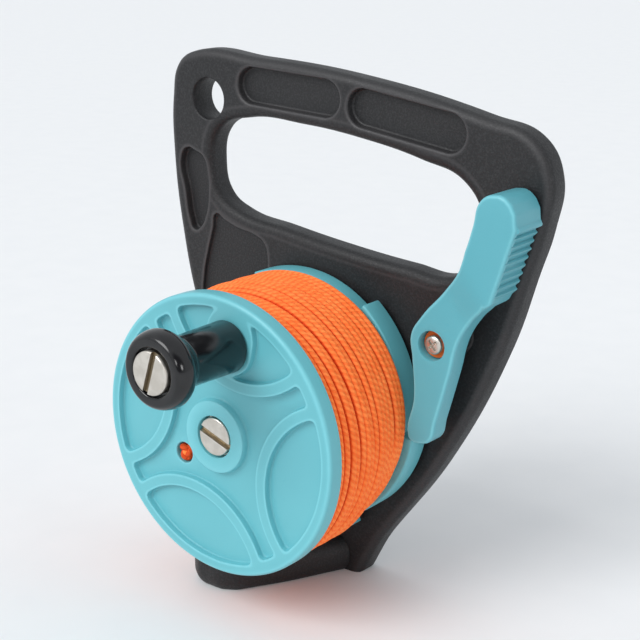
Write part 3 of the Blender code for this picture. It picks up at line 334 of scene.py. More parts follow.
class Finish:
    """One material as its nodes are added, starting from the main shader's fixed values."""

    def __init__(self, name, **values):
        self.material = bpy.data.materials.new(name)
        self.material.use_nodes = True
        self.tree = self.material.node_tree
        self.shader = self.tree.nodes["Principled BSDF"]
        self.show(**values)

    def feed(self, node, values):
        """Sets or links each named socket of a node."""
        for key, value in values.items():
            if isinstance(value, Signal):
                self.tree.links.new(value.socket, node.inputs[key])
            else:
                node.inputs[key].default_value = value

    def node(self, kind, settings, values, output=0):
        """A node of a kind, with its settings set first and then its sockets."""
        made = self.tree.nodes.new("ShaderNode" + kind)
        for key, value in settings.items():
            setattr(made, key, value)
        self.feed(made, values)
        return Signal(self, made.outputs[output])

    def noise(self, scale, detail=2.0):
        """A cloudy value with this many features a metre, fixed to the piece."""
        place = self.node("TexCoord", {}, {}, "Object")
        return self.node("TexNoise", {}, {"Vector": place, "Scale": scale, "Detail": detail})

    def kept(self, name):
        """A value that the piece's own vertices keep under a name."""
        return self.node("Attribute", {"attribute_name": name}, {}, "Fac")

    def ramp(self, value, low, high):
        """A value stretched so that low becomes 0 and high becomes 1."""
        settings = {"interpolation_type": "SMOOTHSTEP"}
        return self.node("MapRange", settings, {0: value, 1: low, 2: high})

    def shade(self, share, colour, other):
        """A colour that passes into another by a share."""
        pair = [tone if isinstance(tone, Signal) else (*tone, 1.0) for tone in (colour, other)]
        return self.node("Mix", {"data_type": "RGBA"}, {0: share, 6: pair[0], 7: pair[1]}, 2)

    def raised(self, height, depth):
        """The normal of a surface that rises by a height signal times this depth in millimetres."""
        values = {"Strength": 1.0, "Distance": depth * MM, "Height": height}
        return self.node("Bump", {}, values)

    def show(self, **values):
        """Sets or links the main shader's sockets."""
        self.feed(self.shader, {key.replace("_", " "): value for key, value in values.items()})


def spark_black():
    """Black nylon with a spark-eroded grain, rubbed slightly paler and smoother in broad patches.
    Along its edges it is smoother, and a paler band there is a painted highlight."""
    finish = Finish("spark_black", Specular_IOR_Level=0.42)
    grain = finish.noise(1900, 3.0)
    coarse = finish.noise(700, 2.0)
    cloud = finish.ramp(finish.noise(38, 3.0), 0.35, 0.7)
    speck = finish.ramp(grain, 0.4, 0.75)
    base = finish.shade(cloud, (0.009, 0.009, 0.010), (0.014, 0.014, 0.015))
    colour = finish.shade(speck * 0.7, base, (0.029, 0.029, 0.031))
    height = grain * 0.6 + coarse * 0.4
    # The kept edge value is a painted highlight: a paler band along the rounded edges.
    edge = finish.kept("edge")
    finish.show(
        Base_Color=finish.shade(edge * 0.5, colour, (0.085, 0.081, 0.084)),
        Roughness=0.50 + 0.12 * cloud - 0.10 * speck - 0.06 * edge,
        Normal=finish.raised(height, 0.13),
    )
    return finish


black = spark_black()
to_axis, to_pivot, to_lanyard = from_centre(AXIS), from_centre(PIVOT), from_centre(LANYARD)
plate_edge = inside(smooth_outline(np.array(PLATE_SHARES) * PLATE_SIZE))
grip_edge = inside(smooth_outline(np.array(GRIP_SHARES) * GRIP_SIZE + GRIP_CENTRE))
pocket_edges = [inside(smooth_outline(np.array(shares) * PLATE_SIZE)) for shares in POCKET_SHARES]


def slot_edge(start, end):
    """The distance into a slot with round ends: its radius less the distance to its middle line."""
    to_run = from_run(start, end)
    return lambda places: SLOT_RADIUS - to_run(places)


slot_edges = [slot_edge(*(np.array(ends) * PLATE_SIZE)) for ends in SLOT_SHARES]


def hexagon(centre, flats):
    """The distance into a hexagon: half its width less the reach towards the nearest side."""
    sides = towards(np.arange(6) * math.pi / 3 + math.pi / 6)
    return lambda places: flats / 2 - ((places - centre) @ sides.T).max(axis=-1)


# The plate ends at its outer edge, the grip and the ground, and at its two round holes.
plate_rim = least(plate_edge, lambda places: -grip_edge(places), lambda places: places[..., 1])
plate_body = least(plate_rim, past(to_lanyard, LANYARD_RADIUS), past(to_axis, BOLT_HOLE))
rim_rows = rounding(PLATE_ROUND, 6)
hole_rows = rounding(LANYARD_ROUND, 3)
nut_rows = pocket_wall(*NUT_WALL, 2)
cuts = [(edge, pocket_wall(*wall), POCKET_LINE) for edge, wall in zip(pocket_edges, POCKET_WALLS)]
cuts += [(edge, pocket_wall(*SLOT_WALL), SLOT_LINE) for edge in slot_edges]
nut_side = hexagon(AXIS, NUT_FLATS)
low, high = PLATE_SIZE * (-0.5, 0) - (2, 0.2), PLATE_SIZE * (0.6, 1.01)
plate_lines = [contours(plate_rim, low, high, PLATE_PITCH, [*rim_rows[:, 0], *HIGHLIGHT_LINES])]
plate_lines += [circles(LANYARD, LANYARD_RADIUS + hole_rows[:, 0], 96)]
plate_lines += [circles(AXIS, [BOLT_HOLE], 64), circles(PIVOT, POST_ROWS[:, 0], 64)]
nut_box = AXIS - NUT_WINDOW, AXIS + NUT_WINDOW
plate_lines += [contours(nut_side, *nut_box, PLATE_PITCH, nut_rows[:, 0])]
for edge, rows, beside in cuts:
    plate_lines.append(contours(edge, low, high, CUT_PITCH, [-beside, *rows[:, 0]]))
places, triangles = plan(plate_body, *plate_lines)
to_edge = np.minimum(plate_edge(places), -grip_edge(places))
rounded = np.maximum(
    depth_at(to_edge, rim_rows), depth_at(to_lanyard(places) - LANYARD_RADIUS, hole_rows)
)
front = -PLATE_FACE + rounded - depth_at(to_pivot(places), POST_ROWS)
for edge, rows, _ in cuts:
    front += depth_at(edge(places), rows)
back = PLATE_FACE - rounded - depth_at(nut_side(places), nut_rows)
plate = panel("moulded_plate", triangles, [(places, front), (places, back)], black)
# Painted highlight along the plate's rounded edges: a pale band just outside each cut, one inside the
# grip's edge and one on the outer edge's rounding.
edge_highlight = [crest(edge(places), -0.45, 0.5) for edge, *_ in cuts]
edge_highlight.append(0.6 * crest(-grip_edge(places), HIGHLIGHT_LINES[0], 0.5))
edge_highlight.append(0.5 * crest(plate_edge(places), 1.4, 0.9))
mark(plate, "edge", np.max(edge_highlight, axis=0))
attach(plate, "frame")
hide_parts("handle_plate")

# LINE FOOT
# A solid black foot moulded onto the plate's lower end, which reaches forward under the spool.
# A round eye near its nose leads the line out; its top edges are rolled over.

FOOT_TOP = 10.9
FOOT_SIZE = np.array([27.0, -32.5])
FOOT_BACK = np.array([0.0, -4.8])
FOOT_SHARES = [
    (-0.648, -0.200), (-0.722, 0.000), (-0.833, 0.300), (-0.889, 0.770), (-0.848, 0.960),
    (-0.681, 1.062), (-0.381, 1.062), (-0.204, 0.978), (0.124, 0.537), (0.437, 0.000),
    (0.585, -0.200),
]
FOOT_SINK = 1.0
FOOT_ROUND, FOOT_CORNER = 5.0, 1.2
FOOT_PITCH, FRONT_PITCH = 0.6, 0.9
EYE = np.array([-0.460, 0.720]) * FOOT_SIZE + FOOT_BACK
EYE_RADIUS, EYE_ROUND = 3.4, 0.5


def softened(loop, count, reach):
    """A closed outline as evenly spaced points, its corners rounded: the same outline with its
    quick changes along its length faded out by a bell curve of this reach."""
    closed = np.vstack([loop, loop[:1]])
    run = np.append(0, np.cumsum(np.linalg.norm(np.diff(closed, axis=0), axis=1)))
    even = np.linspace(0, run[-1], count, endpoint=False)
    points = np.stack([np.interp(even, run, closed[:, axis]) for axis in (0, 1)], axis=1)
    fade = np.exp(-2 * (math.pi * reach * np.fft.rfftfreq(count, run[-1] / count)) ** 2)
    return np.fft.irfft(np.fft.rfft(points, axis=0) * fade[:, None], count, axis=0)


foot_loop = softened(np.array(FOOT_SHARES) * FOOT_SIZE + FOOT_BACK, 240, FOOT_CORNER)
foot_edge = inside(foot_loop)
to_eye = from_centre(EYE)
foot_rows = rounding(FOOT_ROUND, 10)
sole_inset = FOOT_ROUND - math.sqrt(FOOT_ROUND**2 - (FOOT_ROUND - FOOT_SINK) ** 2)
eye_rows = rounding(EYE_ROUND, 3)
low, high = (-27, -42), (18, 3)


def foot_front(places):
    """The distance in front of the line where the foot meets the plate."""
    return FOOT_BACK[1] - np.asarray(places)[..., 1]


places, triangles = plan(
    least(foot_edge, foot_front, past(to_eye, EYE_RADIUS)),
    contours(foot_edge, low, high, FOOT_PITCH, [*foot_rows[:, 0], sole_inset]),
    contours(foot_front, low, high, FRONT_PITCH, [0.0]),
    circles(EYE, EYE_RADIUS + eye_rows[:, 0], 72),
)
top = FOOT_TOP - np.maximum(
    depth_at(foot_edge(places), foot_rows), depth_at(to_eye(places) - EYE_RADIUS, eye_rows)
)
sole = np.maximum(depth_at(foot_edge(places), foot_rows) - FOOT_SINK, 0)
foot = panel("moulded_foot", triangles, [(places, top), (places, sole)], black, flat=True)
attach(foot, "frame")
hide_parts("line_guide_foot")

# RATCHET FLANGE
# The spool's rear cheek of turquoise plastic, with six long ratchet teeth moulded round its edge:
# each falls away from a square step to the next, so the pawl lets the spool turn one way only.

RATCHET_BACK, RATCHET_FRONT = -6.1, -13.6
RATCHET_RADIUS = 39.8
TOOTH_COUNT = 6
TOOTH_HEIGHT = 3.8
TOOTH_TURN = math.radians(55.8)
TOOTH_ROUND, TOOTH_CORNER = 0.6, 0.22
TOOTH_PITCH, TOOTH_WINDOW = 0.7, 42
HUB_BORE = 5.0
DRUM_SEAT = [10.8, 10.85]
SEAT_DEPTHS = [0.7, 0.0]


def satin_turquoise(name, deep, pale):
    """Turquoise plastic with a fine satin grain, faint flow clouds and a few scuffs. A paler band
    along its rounded edges, where the pieces' vertices keep an edge value, is a painted highlight."""
    finish = Finish(name, Specular_IOR_Level=0.5)
    grain = finish.noise(2600, 3.0)
    cloud = finish.ramp(finish.noise(30, 3.0), 0.3, 0.75)
    speck = finish.ramp(finish.noise(900, 4.0), 0.66, 0.74)
    base = finish.shade(cloud, deep, pale)
    colour = finish.shade(speck * 0.2, base, (0.070, 0.370, 0.440))
    # The kept edge value is a painted highlight: a paler band along the rounded edges.
    edge = finish.kept("edge")
    finish.show(
        Base_Color=finish.shade(edge * 0.85, colour, (0.25, 0.68, 0.76)),
        Roughness=0.36 + 0.10 * cloud + 0.10 * speck,
        Normal=finish.raised(grain, 0.035),
    )
    return finish


turquoise = satin_turquoise("sea_turquoise", (0.126, 0.450, 0.510), (0.142, 0.485, 0.543))
turn = np.linspace(0, math.tau, 1440, endpoint=False)
fall = np.mod(TOOTH_TURN - turn, math.tau / TOOTH_COUNT) / (math.tau / TOOTH_COUNT)
reach = RATCHET_RADIUS - TOOTH_HEIGHT * fall
tooth_edge = inside(softened(AXIS + reach[:, None] * towards(turn), 720, TOOTH_CORNER))
tooth_rows = rounding(TOOTH_ROUND, 4)
places, triangles = plan(
    least(tooth_edge, past(to_axis, HUB_BORE)),
    contours(tooth_edge, AXIS - TOOTH_WINDOW, AXIS + TOOTH_WINDOW, TOOTH_PITCH, tooth_rows[:, 0]),
    circles(AXIS, [HUB_BORE, *DRUM_SEAT], 96),
)
round_off = depth_at(tooth_edge(places), tooth_rows)
seat = np.interp(to_axis(places), DRUM_SEAT, SEAT_DEPTHS)
skins = [(places, RATCHET_FRONT + round_off + seat), (places, RATCHET_BACK - round_off)]
ratchet = panel("ratchet_flange", triangles, skins, turquoise)
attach(ratchet, "spool")
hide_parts("spool_ratchet_flange")

# DRUM
# The plain tube between the cheeks that the line is wound on, moulded in the same turquoise.
# It's wholly under the line, so the frame's own solid stays and only takes the finish.


def dress(node, finish):
    """Gives one of the frame's own solids a finish."""
    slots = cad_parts[node].data.materials
    slots.clear()
    slots.append(finish.material)


dress("spool_drum", turquoise)

# WOUND LINE
# About thirty metres of two-millimetre braided orange line, wound by hand in layers: the loops lie
# side by side, drift a little, and the last ones climb over their neighbours.

LINE_RADIUS = 0.98
LINE_SPAN = (-44.85, -14.85)
# Each layer's radius, lift, loops, wander, lean, way round, and the depths that it lies between.
LINE_LAYERS = [
    (34.6, 0.0, 15.3, 0.15, 0.0, 1, LINE_SPAN),
    (36.1, 0.9, 15.6, 0.30, 1.2, -1, LINE_SPAN),
    (35.0, 3.2, 14.6, 0.35, 1.6, 1, (LINE_SPAN[0], -15.0)),
]
LINE_START = math.radians(-95)
LEAN_TURN = math.radians(150)
# Each dip's middle turn, the depth where it starts, how far it deepens from there, and its share.
LINE_DIPS = [(112, -33, -10, 1.0), (-64, -27, 8, 1.4)]


def grid_faces(names, flip=False):
    """The quads of a grid of point names whose last column meets the first again."""
    near, far = names[:-1], names[1:]
    quads = [near, np.roll(near, -1, axis=1), np.roll(far, -1, axis=1), far]
    return np.stack(quads[::-1] if flip else quads, axis=-1).reshape(-1, 4)


def tube(path, radius, sides, guide):
    """Points, faces and running places of a tube round a path: at each point a circle in the plane
    across the path's heading, its zero turned to the guide, and a cone to the end points."""
    heading = np.gradient(path, axis=0)
    heading /= np.linalg.norm(heading, axis=1, keepdims=True)
    side = guide - (guide * heading).sum(axis=1, keepdims=True) * heading
    side /= np.linalg.norm(side, axis=1, keepdims=True)
    rise = np.cross(heading, side)
    turn = np.linspace(0, math.tau, sides, endpoint=False)[None, :, None]
    ring = path[:, None] + radius * (np.cos(turn) * side[:, None] + np.sin(turn) * rise[:, None])
    tips = path[[0, -1]] + heading[[0, -1]] * radius * np.array([[-0.6], [0.6]])
    names = np.arange(len(path) * sides).reshape(-1, sides)
    quads = grid_faces(names)
    count = names.size
    first = np.stack([np.roll(names[0], -1), names[0], np.full(sides, count)], axis=1)
    last = np.stack([names[-1], np.roll(names[-1], -1), np.full(sides, count + 1)], axis=1)
    run = np.append(0, np.cumsum(np.linalg.norm(np.diff(path, axis=0), axis=1)))
    around = np.tile(np.arange(sides), len(path) - 1)
    rows = np.repeat(np.arange(len(path) - 1), sides)
    u = np.stack([around, around + 1, around + 1, around], axis=1) / sides
    v = run[np.stack([rows, rows, rows + 1, rows + 1], axis=1)]
    places = np.concatenate([np.stack([u, v], axis=-1).reshape(-1, 2), np.zeros((6 * sides, 2))])
    points = np.vstack([ring.reshape(-1, 3), tips])
    return points, quads.tolist() + first.tolist() + last.tolist(), places


def tube_piece(name, tubes, finish):
    """One piece from several tubes, with the run along each kept as its UV map, in millimetres."""
    points, faces, places = [], [], []
    for part_points, part_faces, part_places in tubes:
        shift = sum(map(len, points))
        faces += [[corner + shift for corner in face] for face in part_faces]
        points.append(part_points)
        places.append(part_places)
    piece = make_piece(name, np.vstack(points), faces, finish, 80)
    run = piece.data.uv_layers.new(name="run")
    run.data.foreach_set("uv", np.vstack(places).ravel())
    return piece


def drift(turn, seed, waves=7):
    """A smooth wander between about -1 and 1 along an angle: a sum of slow waves, each with its
    own fixed length and start."""
    fixed = np.random.default_rng(seed)
    length = fixed.uniform(0.13, 1.9, waves)
    start = fixed.uniform(0, math.tau, waves)
    return np.sin(turn[:, None] * length + start).sum(axis=1) / math.sqrt(waves)


def spun(centre, radius, turn, depth):
    """Points round a line along Y through a centre, from their radius, turn and depth."""
    x, z = centre[0] + radius * np.cos(turn), centre[1] + radius * np.sin(turn)
    return np.stack(np.broadcast_arrays(x, depth, z), axis=-1)


def layer(radius, lift, loops, wander, lean, way, span, seed):
    """One layer's path: a helix whose depth and radius wander slowly along its angle. It leans
    towards the back on the spool's right, and is lifted where other loops lie under its own:
    everywhere but in a dip at the front's upper left and another at the back's lower right."""
    turn = np.linspace(0, loops * math.tau, int(loops * 110))
    share = turn / turn[-1]
    angle = turn * way + LINE_START
    ease = np.minimum(1, 6 * np.minimum(share, 1 - share))
    depth = span[0] + (span[1] - span[0]) * (share if way > 0 else 1 - share)
    depth = depth + ease * (wander * drift(turn, seed) - lean * np.cos(angle - LEAN_TURN))
    dips = 0
    for middle, start, reach, deep in LINE_DIPS:
        beside = np.abs(np.cos((angle - math.radians(middle)) / 2)) ** 10
        dips = dips + deep * beside * np.clip((depth - start) / reach, 0, 1)
    far = radius + lift * np.clip(1 - dips, 0, 1) + 0.18 * drift(turn, seed + 1) * ease
    return spun(AXIS, far, angle, depth)


def radial(path):
    """The direction from the spool's axis to each point of a path."""
    return path * (1, 0, 1) - (0, 0, AXIS[1])


def braided_orange():
    """Fluorescent orange braid: short slanted plaits follow each other round the line, each a low
    ridge of fibres. Painted shade, a deeper red, lies in the gaps between plaits and down the line's
    sides, and a faint painted glow in the line's own colour lifts its brightness."""
    # The emission is a painted glow in the line's own colour, lifting its brightness.
    finish = Finish("braided_orange", Specular_IOR_Level=0.2, Emission_Strength=0.14)
    run = finish.node("UVMap", {"uv_map": "run"}, {})
    around = finish.node("SeparateXYZ", {}, {0: run})
    along = finish.node("SeparateXYZ", {}, {0: run}, 1) + 0.8 * finish.noise(700, 2.0)
    plait = finish.ramp(run.maths("SINE", (around * 2 + along / 1.9) * math.tau), -0.9, 0.5)
    flank_shade = finish.ramp(run.maths("COSINE", around * math.tau), 0.62, 0.0)
    fibre = finish.noise(3800, 2.0)
    patch = finish.ramp(finish.noise(160, 3.0), 0.3, 0.7)
    base = finish.shade(patch, (0.95, 0.200, 0.040), (0.98, 0.245, 0.058))
    # Painted shade: darker red in the gaps between the plaits.
    colour = finish.shade((1 - plait) * 0.5, base, (0.80, 0.095, 0.012))
    # Painted shade: darker red down the line's sides and under it, away from its outer crown.
    colour = finish.shade(flank_shade * 0.85, colour, (0.56, 0.040, 0.005))
    colour = finish.shade(finish.ramp(fibre, 0.55, 0.8) * 0.25, colour, (1.0, 0.36, 0.12))
    finish.show(
        Base_Color=colour,
        Emission_Color=colour,
        Roughness=0.62 + 0.2 * fibre,
        Normal=finish.raised(plait * 0.8 + fibre * 0.2, 0.22),
    )
    return finish


orange = braided_orange()
paths = [layer(*values, 20 + index) for index, values in enumerate(LINE_LAYERS)]
tubes = [tube(path, LINE_RADIUS, 12, radial(path)) for path in paths]
line = tube_piece("wound_line", tubes, orange)
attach(line, "spool")
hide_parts("line_winding", "line_core")

# FRONT FLANGE
# The spool's front cheek, one turquoise moulding: lens-shaped pockets and a four-armed star are
# cored out of its face and leave curved ribs, with a raised hub and a pad for the crank knob.

FLANGE_FRONT, FLANGE_BACK = -50.7, -46.1
FLANGE_RADIUS = 40.0
PETAL_TURNS = np.radians([-14, 76, 166, 256])
PETAL_DISTANCE, PETAL_RADIUS = 44.2, 25.04
RIB_WIDTH = 3.45
RIM_WIDTH, RIM_ROUND = 3.3, 1.1
ARM_INSET = 0.8
FACE_DEPTH = 1.9
RECESS_WALL = (FACE_DEPTH, 0.22, 0.45)
PETAL_CORNER, STAR_CORNER = 2.2, 1.9
KNOB_WAY, KNOB_DISTANCE = towards(math.radians(78.4)), 27.56
KNOB = AXIS + KNOB_DISTANCE * KNOB_WAY
KNOB_PAD = 8.1
KNOB_NUT_WALL = (2.5, 0.15, 0.15)
KNOB_NUT_PITCH, KNOB_NUT_WINDOW = 0.7, 7
RECESS_PITCH, RECESS_WINDOW = 0.55, 39.3
# One more line beside the pockets, on the ribs, and one more circle inside the rim.
RIB_LINE, RIM_LINE = -0.75, 1.8
LINE_HOLE_DISTANCE = 15.6
LINE_HOLE = AXIS + LINE_HOLE_DISTANCE * towards(math.radians(212.3))
LINE_HOLE_RADIUS, LINE_HOLE_ROUND = 3.0, 0.35
SCREW_HOLE = 3.3
# The hub's radii and heights over the flange's front, from its bore out to the sunk face.
HUB_ROWS = np.array(
    [(HUB_BORE, -3.3), (5.98, -3.3), (6.0, 0.05), (6.06, 0.15), (6.2, 0.2), (9.9, 0.2),
     (10.12, 0.14), (10.22, 0.0), (10.45, -1.45), (10.6, -1.72), (10.9, -1.86),
     (11.2, -FACE_DEPTH), (11.4, -FACE_DEPTH)]
)
HUB_REACH = 12.0


def soft_least(first, second, reach):
    """The lesser of two distances, with the corner between them rounded over a reach."""
    close = np.maximum(reach - np.abs(first - second), 0) / reach
    return np.minimum(first, second) - close**2 * reach / 4


to_knob, to_line_hole = from_centre(KNOB), from_centre(LINE_HOLE)
to_pad = from_run(KNOB, AXIS + (FLANGE_RADIUS - RIM_WIDTH / 2 - KNOB_PAD) * KNOB_WAY)
to_petals = [from_centre(AXIS + PETAL_DISTANCE * towards(turn)) for turn in PETAL_TURNS]


def recess(places):
    """The distance into the nearest pocket: a petal lies inside its own circle and the rim, and the
    star outside every petal's wider circle; the knob's pad stands in both."""
    rim = FLANGE_RADIUS - RIM_WIDTH - to_axis(places)
    petals = [soft_least(rim, PETAL_RADIUS - to(places), PETAL_CORNER) for to in to_petals]
    ribs = np.sort([to(places) - PETAL_RADIUS - RIB_WIDTH for to in to_petals], axis=0)
    star = soft_least(np.minimum(ribs[0], ribs[1]), rim - ARM_INSET, STAR_CORNER)
    pockets = np.maximum(np.max(petals, axis=0), star)
    return soft_least(pockets, to_pad(places) - KNOB_PAD, STAR_CORNER)


round_holes = [(to_axis, HUB_BORE), (to_line_hole, LINE_HOLE_RADIUS), (to_knob, SCREW_HOLE)]
recess_rows = pocket_wall(*RECESS_WALL)
rim_rows = rounding(RIM_ROUND, 6)
hole_rows = rounding(LINE_HOLE_ROUND, 3)
nut_side = hexagon(KNOB, NUT_FLATS)
nut_rows = pocket_wall(*KNOB_NUT_WALL, 2)
recess_box = AXIS - RECESS_WINDOW, AXIS + RECESS_WINDOW
nut_box = KNOB - KNOB_NUT_WINDOW, KNOB + KNOB_NUT_WINDOW
places, triangles = plan(
    least(lambda places: FLANGE_RADIUS - to_axis(places), *(past(*hole) for hole in round_holes)),
    contours(recess, *recess_box, RECESS_PITCH, [RIB_LINE, *recess_rows[:, 0]]),
    circles(AXIS, FLANGE_RADIUS - np.append(rim_rows[:, 0], RIM_LINE), 240),
    circles(AXIS, HUB_ROWS[:, 0], 120),
    circles(LINE_HOLE, LINE_HOLE_RADIUS + hole_rows[:, 0], 60),
    circles(KNOB, [SCREW_HOLE], 40),
    contours(nut_side, *nut_box, KNOB_NUT_PITCH, nut_rows[:, 0]),
)
from_axis = to_axis(places)
hub = np.interp(from_axis, HUB_ROWS[:, 0], HUB_ROWS[:, 1])
from_rim = FLANGE_RADIUS - from_axis
from_hole = to_line_hole(places) - LINE_HOLE_RADIUS
face = np.where(from_axis < HUB_REACH, hub, -depth_at(recess(places), recess_rows))
front = FLANGE_FRONT - face + depth_at(from_rim, rim_rows) + depth_at(from_hole, hole_rows)
seat = np.interp(from_axis, DRUM_SEAT, SEAT_DEPTHS)
back = FLANGE_BACK - seat - depth_at(nut_side(places), nut_rows)
flange = panel("front_flange", triangles, [(places, front), (places, back)], turquoise)
# Painted highlights: pale bands along the pockets' top edges, the rim's rounding, the hub's edge and
# the line hole's edge.
pale = [0.55 * crest(recess(places), -0.3, 0.28), 0.5 * crest(from_rim, 0.7, 0.5)]
pale += [0.5 * crest(from_axis, 10.0, 0.3), 0.4 * crest(from_hole, 0.3, 0.3)]
mark(flange, "edge", np.max(pale, axis=0))
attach(flange, "spool")
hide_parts("spool_front_flange")

# LINE KNOT
# The line's inner end comes through the front flange and is stopped by a tight overhand knot,
# pulled half into its hole.

KNOT_SIZE, KNOT_LINE, STUB_LINE = 0.60, 0.88, 0.95
KNOT_MIDDLE = -47.6
STUB_DEPTHS = np.linspace(-48.6, -46.4, 12)
turn = np.linspace(0, math.tau, 160)
rows = [np.sin(turn) + 2 * np.sin(2 * turn), -np.sin(3 * turn), np.cos(turn) - 2 * np.cos(2 * turn)]
knot_path = np.array([LINE_HOLE[0], KNOT_MIDDLE, LINE_HOLE[1]]) + KNOT_SIZE * np.transpose(rows)
stub_path = spun(LINE_HOLE, 0.0, 0.0, STUB_DEPTHS)
knot_tubes = [tube(knot_path, KNOT_LINE, 14, np.tile([0.0, 1.0, 0.1], (len(knot_path), 1)))]
knot_tubes.append(tube(stub_path, STUB_LINE, 14, np.tile([1.0, 0.0, 0.0], (len(stub_path), 1))))
knot = tube_piece("line_end_knot", knot_tubes, orange)
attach(knot, "spool")
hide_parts("line_knot")

# SPINDLE
# A nickel-plated slotted bolt runs through the hub in a brass sleeve; the spool turns on the sleeve,
# between a washer under the head and a spacer at the plate, and a nut holds it in the plate's back.

HEAD_FRONT = -50.9
HEAD_RADIUS, HEAD_DEPTH = 5.4, 1.9
SHANK_PROFILE = [(0, -49.2), (3.0, -49.2), (3.0, 3.6), (2.6, 4.0), (0, 4.0)]
BOLT_SLOT = (1.7, 1.3, math.radians(-19.5))
SLOT_PITCH, SLOT_BEYOND = 0.37, 0.3


def turned(name, profile, centre, finish, steps=96, sharp=40):
    """A piece turned about a line along Y: each radius and depth of the profile is carried round a
    circle. It runs from the front to the back outside, and closes on itself where it's a ring."""
    radius, depth = np.array(profile, float).T
    turn = np.linspace(0, math.tau, steps, endpoint=False)
    points = spun(centre, radius[:, None], turn, depth[:, None])
    names = np.arange(len(radius) * steps).reshape(-1, steps)
    if radius[0] > 0:
        names = np.vstack([names, names[:1]])
    quads = grid_faces(names, flip=True)
    faces = quads.tolist()
    if radius[0] == 0:
        points[0], points[-1] = points[0, :1], points[-1, :1]
        front = quads[:steps][:, [0, 1, 3]].copy()
        back = quads[-steps:][:, [0, 2, 3]].copy()
        front[front < steps] = 0
        back[back >= names[-1, 0]] = names[-1, 0]
        faces = quads[steps:-steps].tolist() + front.tolist() + back.tolist()
    return make_piece(name, points.reshape(-1, 3), faces, finish, sharp)


def nickel_steel():
    """Nickel-plated steel, smudged in patches, with painted shade, a dull brown, in the screws'
    slots, which their own vertices mark."""
    finish = Finish("nickel_steel", Metallic=1.0)
    smudge = finish.ramp(finish.noise(420, 4.0), 0.35, 0.7)
    fine = finish.noise(5200, 2.0)
    slot = finish.kept("slot")
    colour = finish.shade(smudge, (0.60, 0.56, 0.50), (0.70, 0.66, 0.60))
    finish.show(
        # The slot value paints the screws' slots dull brown: painted shade.
        Base_Color=finish.shade(slot, colour, (0.27, 0.22, 0.15)),
        Roughness=0.28 + 0.14 * smudge + 0.06 * fine,
        Normal=finish.raised(fine, 0.012),
    )
    return finish


def sleeve_brass():
    """Plain drawn brass, dulled in patches."""
    finish = Finish("sleeve_brass", Metallic=1.0)
    patch = finish.ramp(finish.noise(300, 3.0), 0.3, 0.7)
    finish.show(
        Base_Color=finish.shade(patch, (0.60, 0.42, 0.17), (0.48, 0.33, 0.14)),
        Roughness=0.25 + 0.2 * patch,
    )
    return finish


nickel = nickel_steel()


def slotted_head(name, centre, radius, front, back, slot, finish):
    """A flat screw head: a disc with a chamfered edge and one straight slot right across, given as
    its width, depth and turn. The face's depth follows the distances to the edge and the slot."""
    width, depth, turn = slot
    across = np.array([-math.sin(turn), math.cos(turn)])
    edge_rows = np.array([(0.0, 0.35), (0.12, 0.18), (0.3, 0.05), (0.5, 0.0), (0.7, 0.0)])
    slot_rows = np.array(
        [(-0.25, 0.0), (-0.1, 0.0), (-0.02, 0.04), (0.0, 0.12), (0.03, depth), (0.2, depth)]
    )
    to_centre = from_centre(centre)

    def slot_side(places):
        """Half the slot's width less the distance to its middle line."""
        return width / 2 - np.abs((places - centre) @ across)

    def head_body(places):
        """The head's radius less the distance to its middle."""
        return radius - to_centre(places)

    box = centre - radius - SLOT_BEYOND, centre + radius + SLOT_BEYOND
    places, triangles = plan(
        head_body,
        circles(centre, radius - edge_rows[:, 0], 120),
        contours(slot_side, *box, SLOT_PITCH, slot_rows[:, 0]),
    )
    sunk = depth_at(slot_side(places), slot_rows)
    face = front + np.maximum(depth_at(head_body(places), edge_rows), sunk)
    piece = panel(name, triangles, [(places, face), (places, np.full(len(places), back))], finish)
    # The slot's floor and walls are marked for the finish's painted shade.
    mark(piece, "slot", sunk > 0.2)
    return piece


head_back = HEAD_FRONT + HEAD_DEPTH
head = slotted_head("spindle_head", AXIS, HEAD_RADIUS, HEAD_FRONT, head_back, BOLT_SLOT, nickel)
shank = turned("spindle_shank", SHANK_PROFILE, AXIS, nickel)
for piece in (head, shank):
    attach(piece, "frame")
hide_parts("spindle_bolt")
dress("spindle_sleeve", sleeve_brass())
for node in ("spindle_washer", "spool_spacer", "spindle_nut"):
    dress(node, nickel)

# CRANK KNOB
# A mushroom-shaped knob of glossy black phenolic turns freely on a slotted screw, which passes
# through the front flange into a nut let into the flange's back.

KNOB_BACK, KNOB_FRONT = -51.0, -79.3
CAP_RADIUS, CAP_DEPTH = 10.5, 4.2
NECK_RADIUS, NECK_DEPTH = 6.9, 6.5
KNOB_FOOT, KNOB_BORE = 7.2, 3.3
RECESS_RADIUS, RECESS_DEPTH = 6.5, 2.0
CROWN_RADIUS = RECESS_RADIUS + 1.9
SCREW_FRONT, SCREW_BACK = -80.0, -77.6
SCREW_RADIUS = 5.8
SCREW_SLOT = (1.7, 1.1, math.radians(72))
SCREW_PROFILE = [(0, -77.7), (3.0, -77.7), (3.0, -46.7), (2.7, -46.4), (0, -46.4)]


def gloss_black():
    """Polished black phenolic: a clear, deep gloss with faint ripples and hairline rubs."""
    finish = Finish("gloss_black", Specular_IOR_Level=0.5)
    rub = finish.ramp(finish.noise(240, 4.0), 0.45, 0.75)
    finish.show(
        Base_Color=finish.shade(rub, (0.006, 0.006, 0.007), (0.012, 0.012, 0.013)),
        Roughness=0.13 + 0.10 * rub,
        Normal=finish.raised(finish.noise(500, 1.0), 0.01),
    )
    return finish


gloss = gloss_black()
share = np.linspace(0, 1, 17)
quarter = share * math.pi / 2
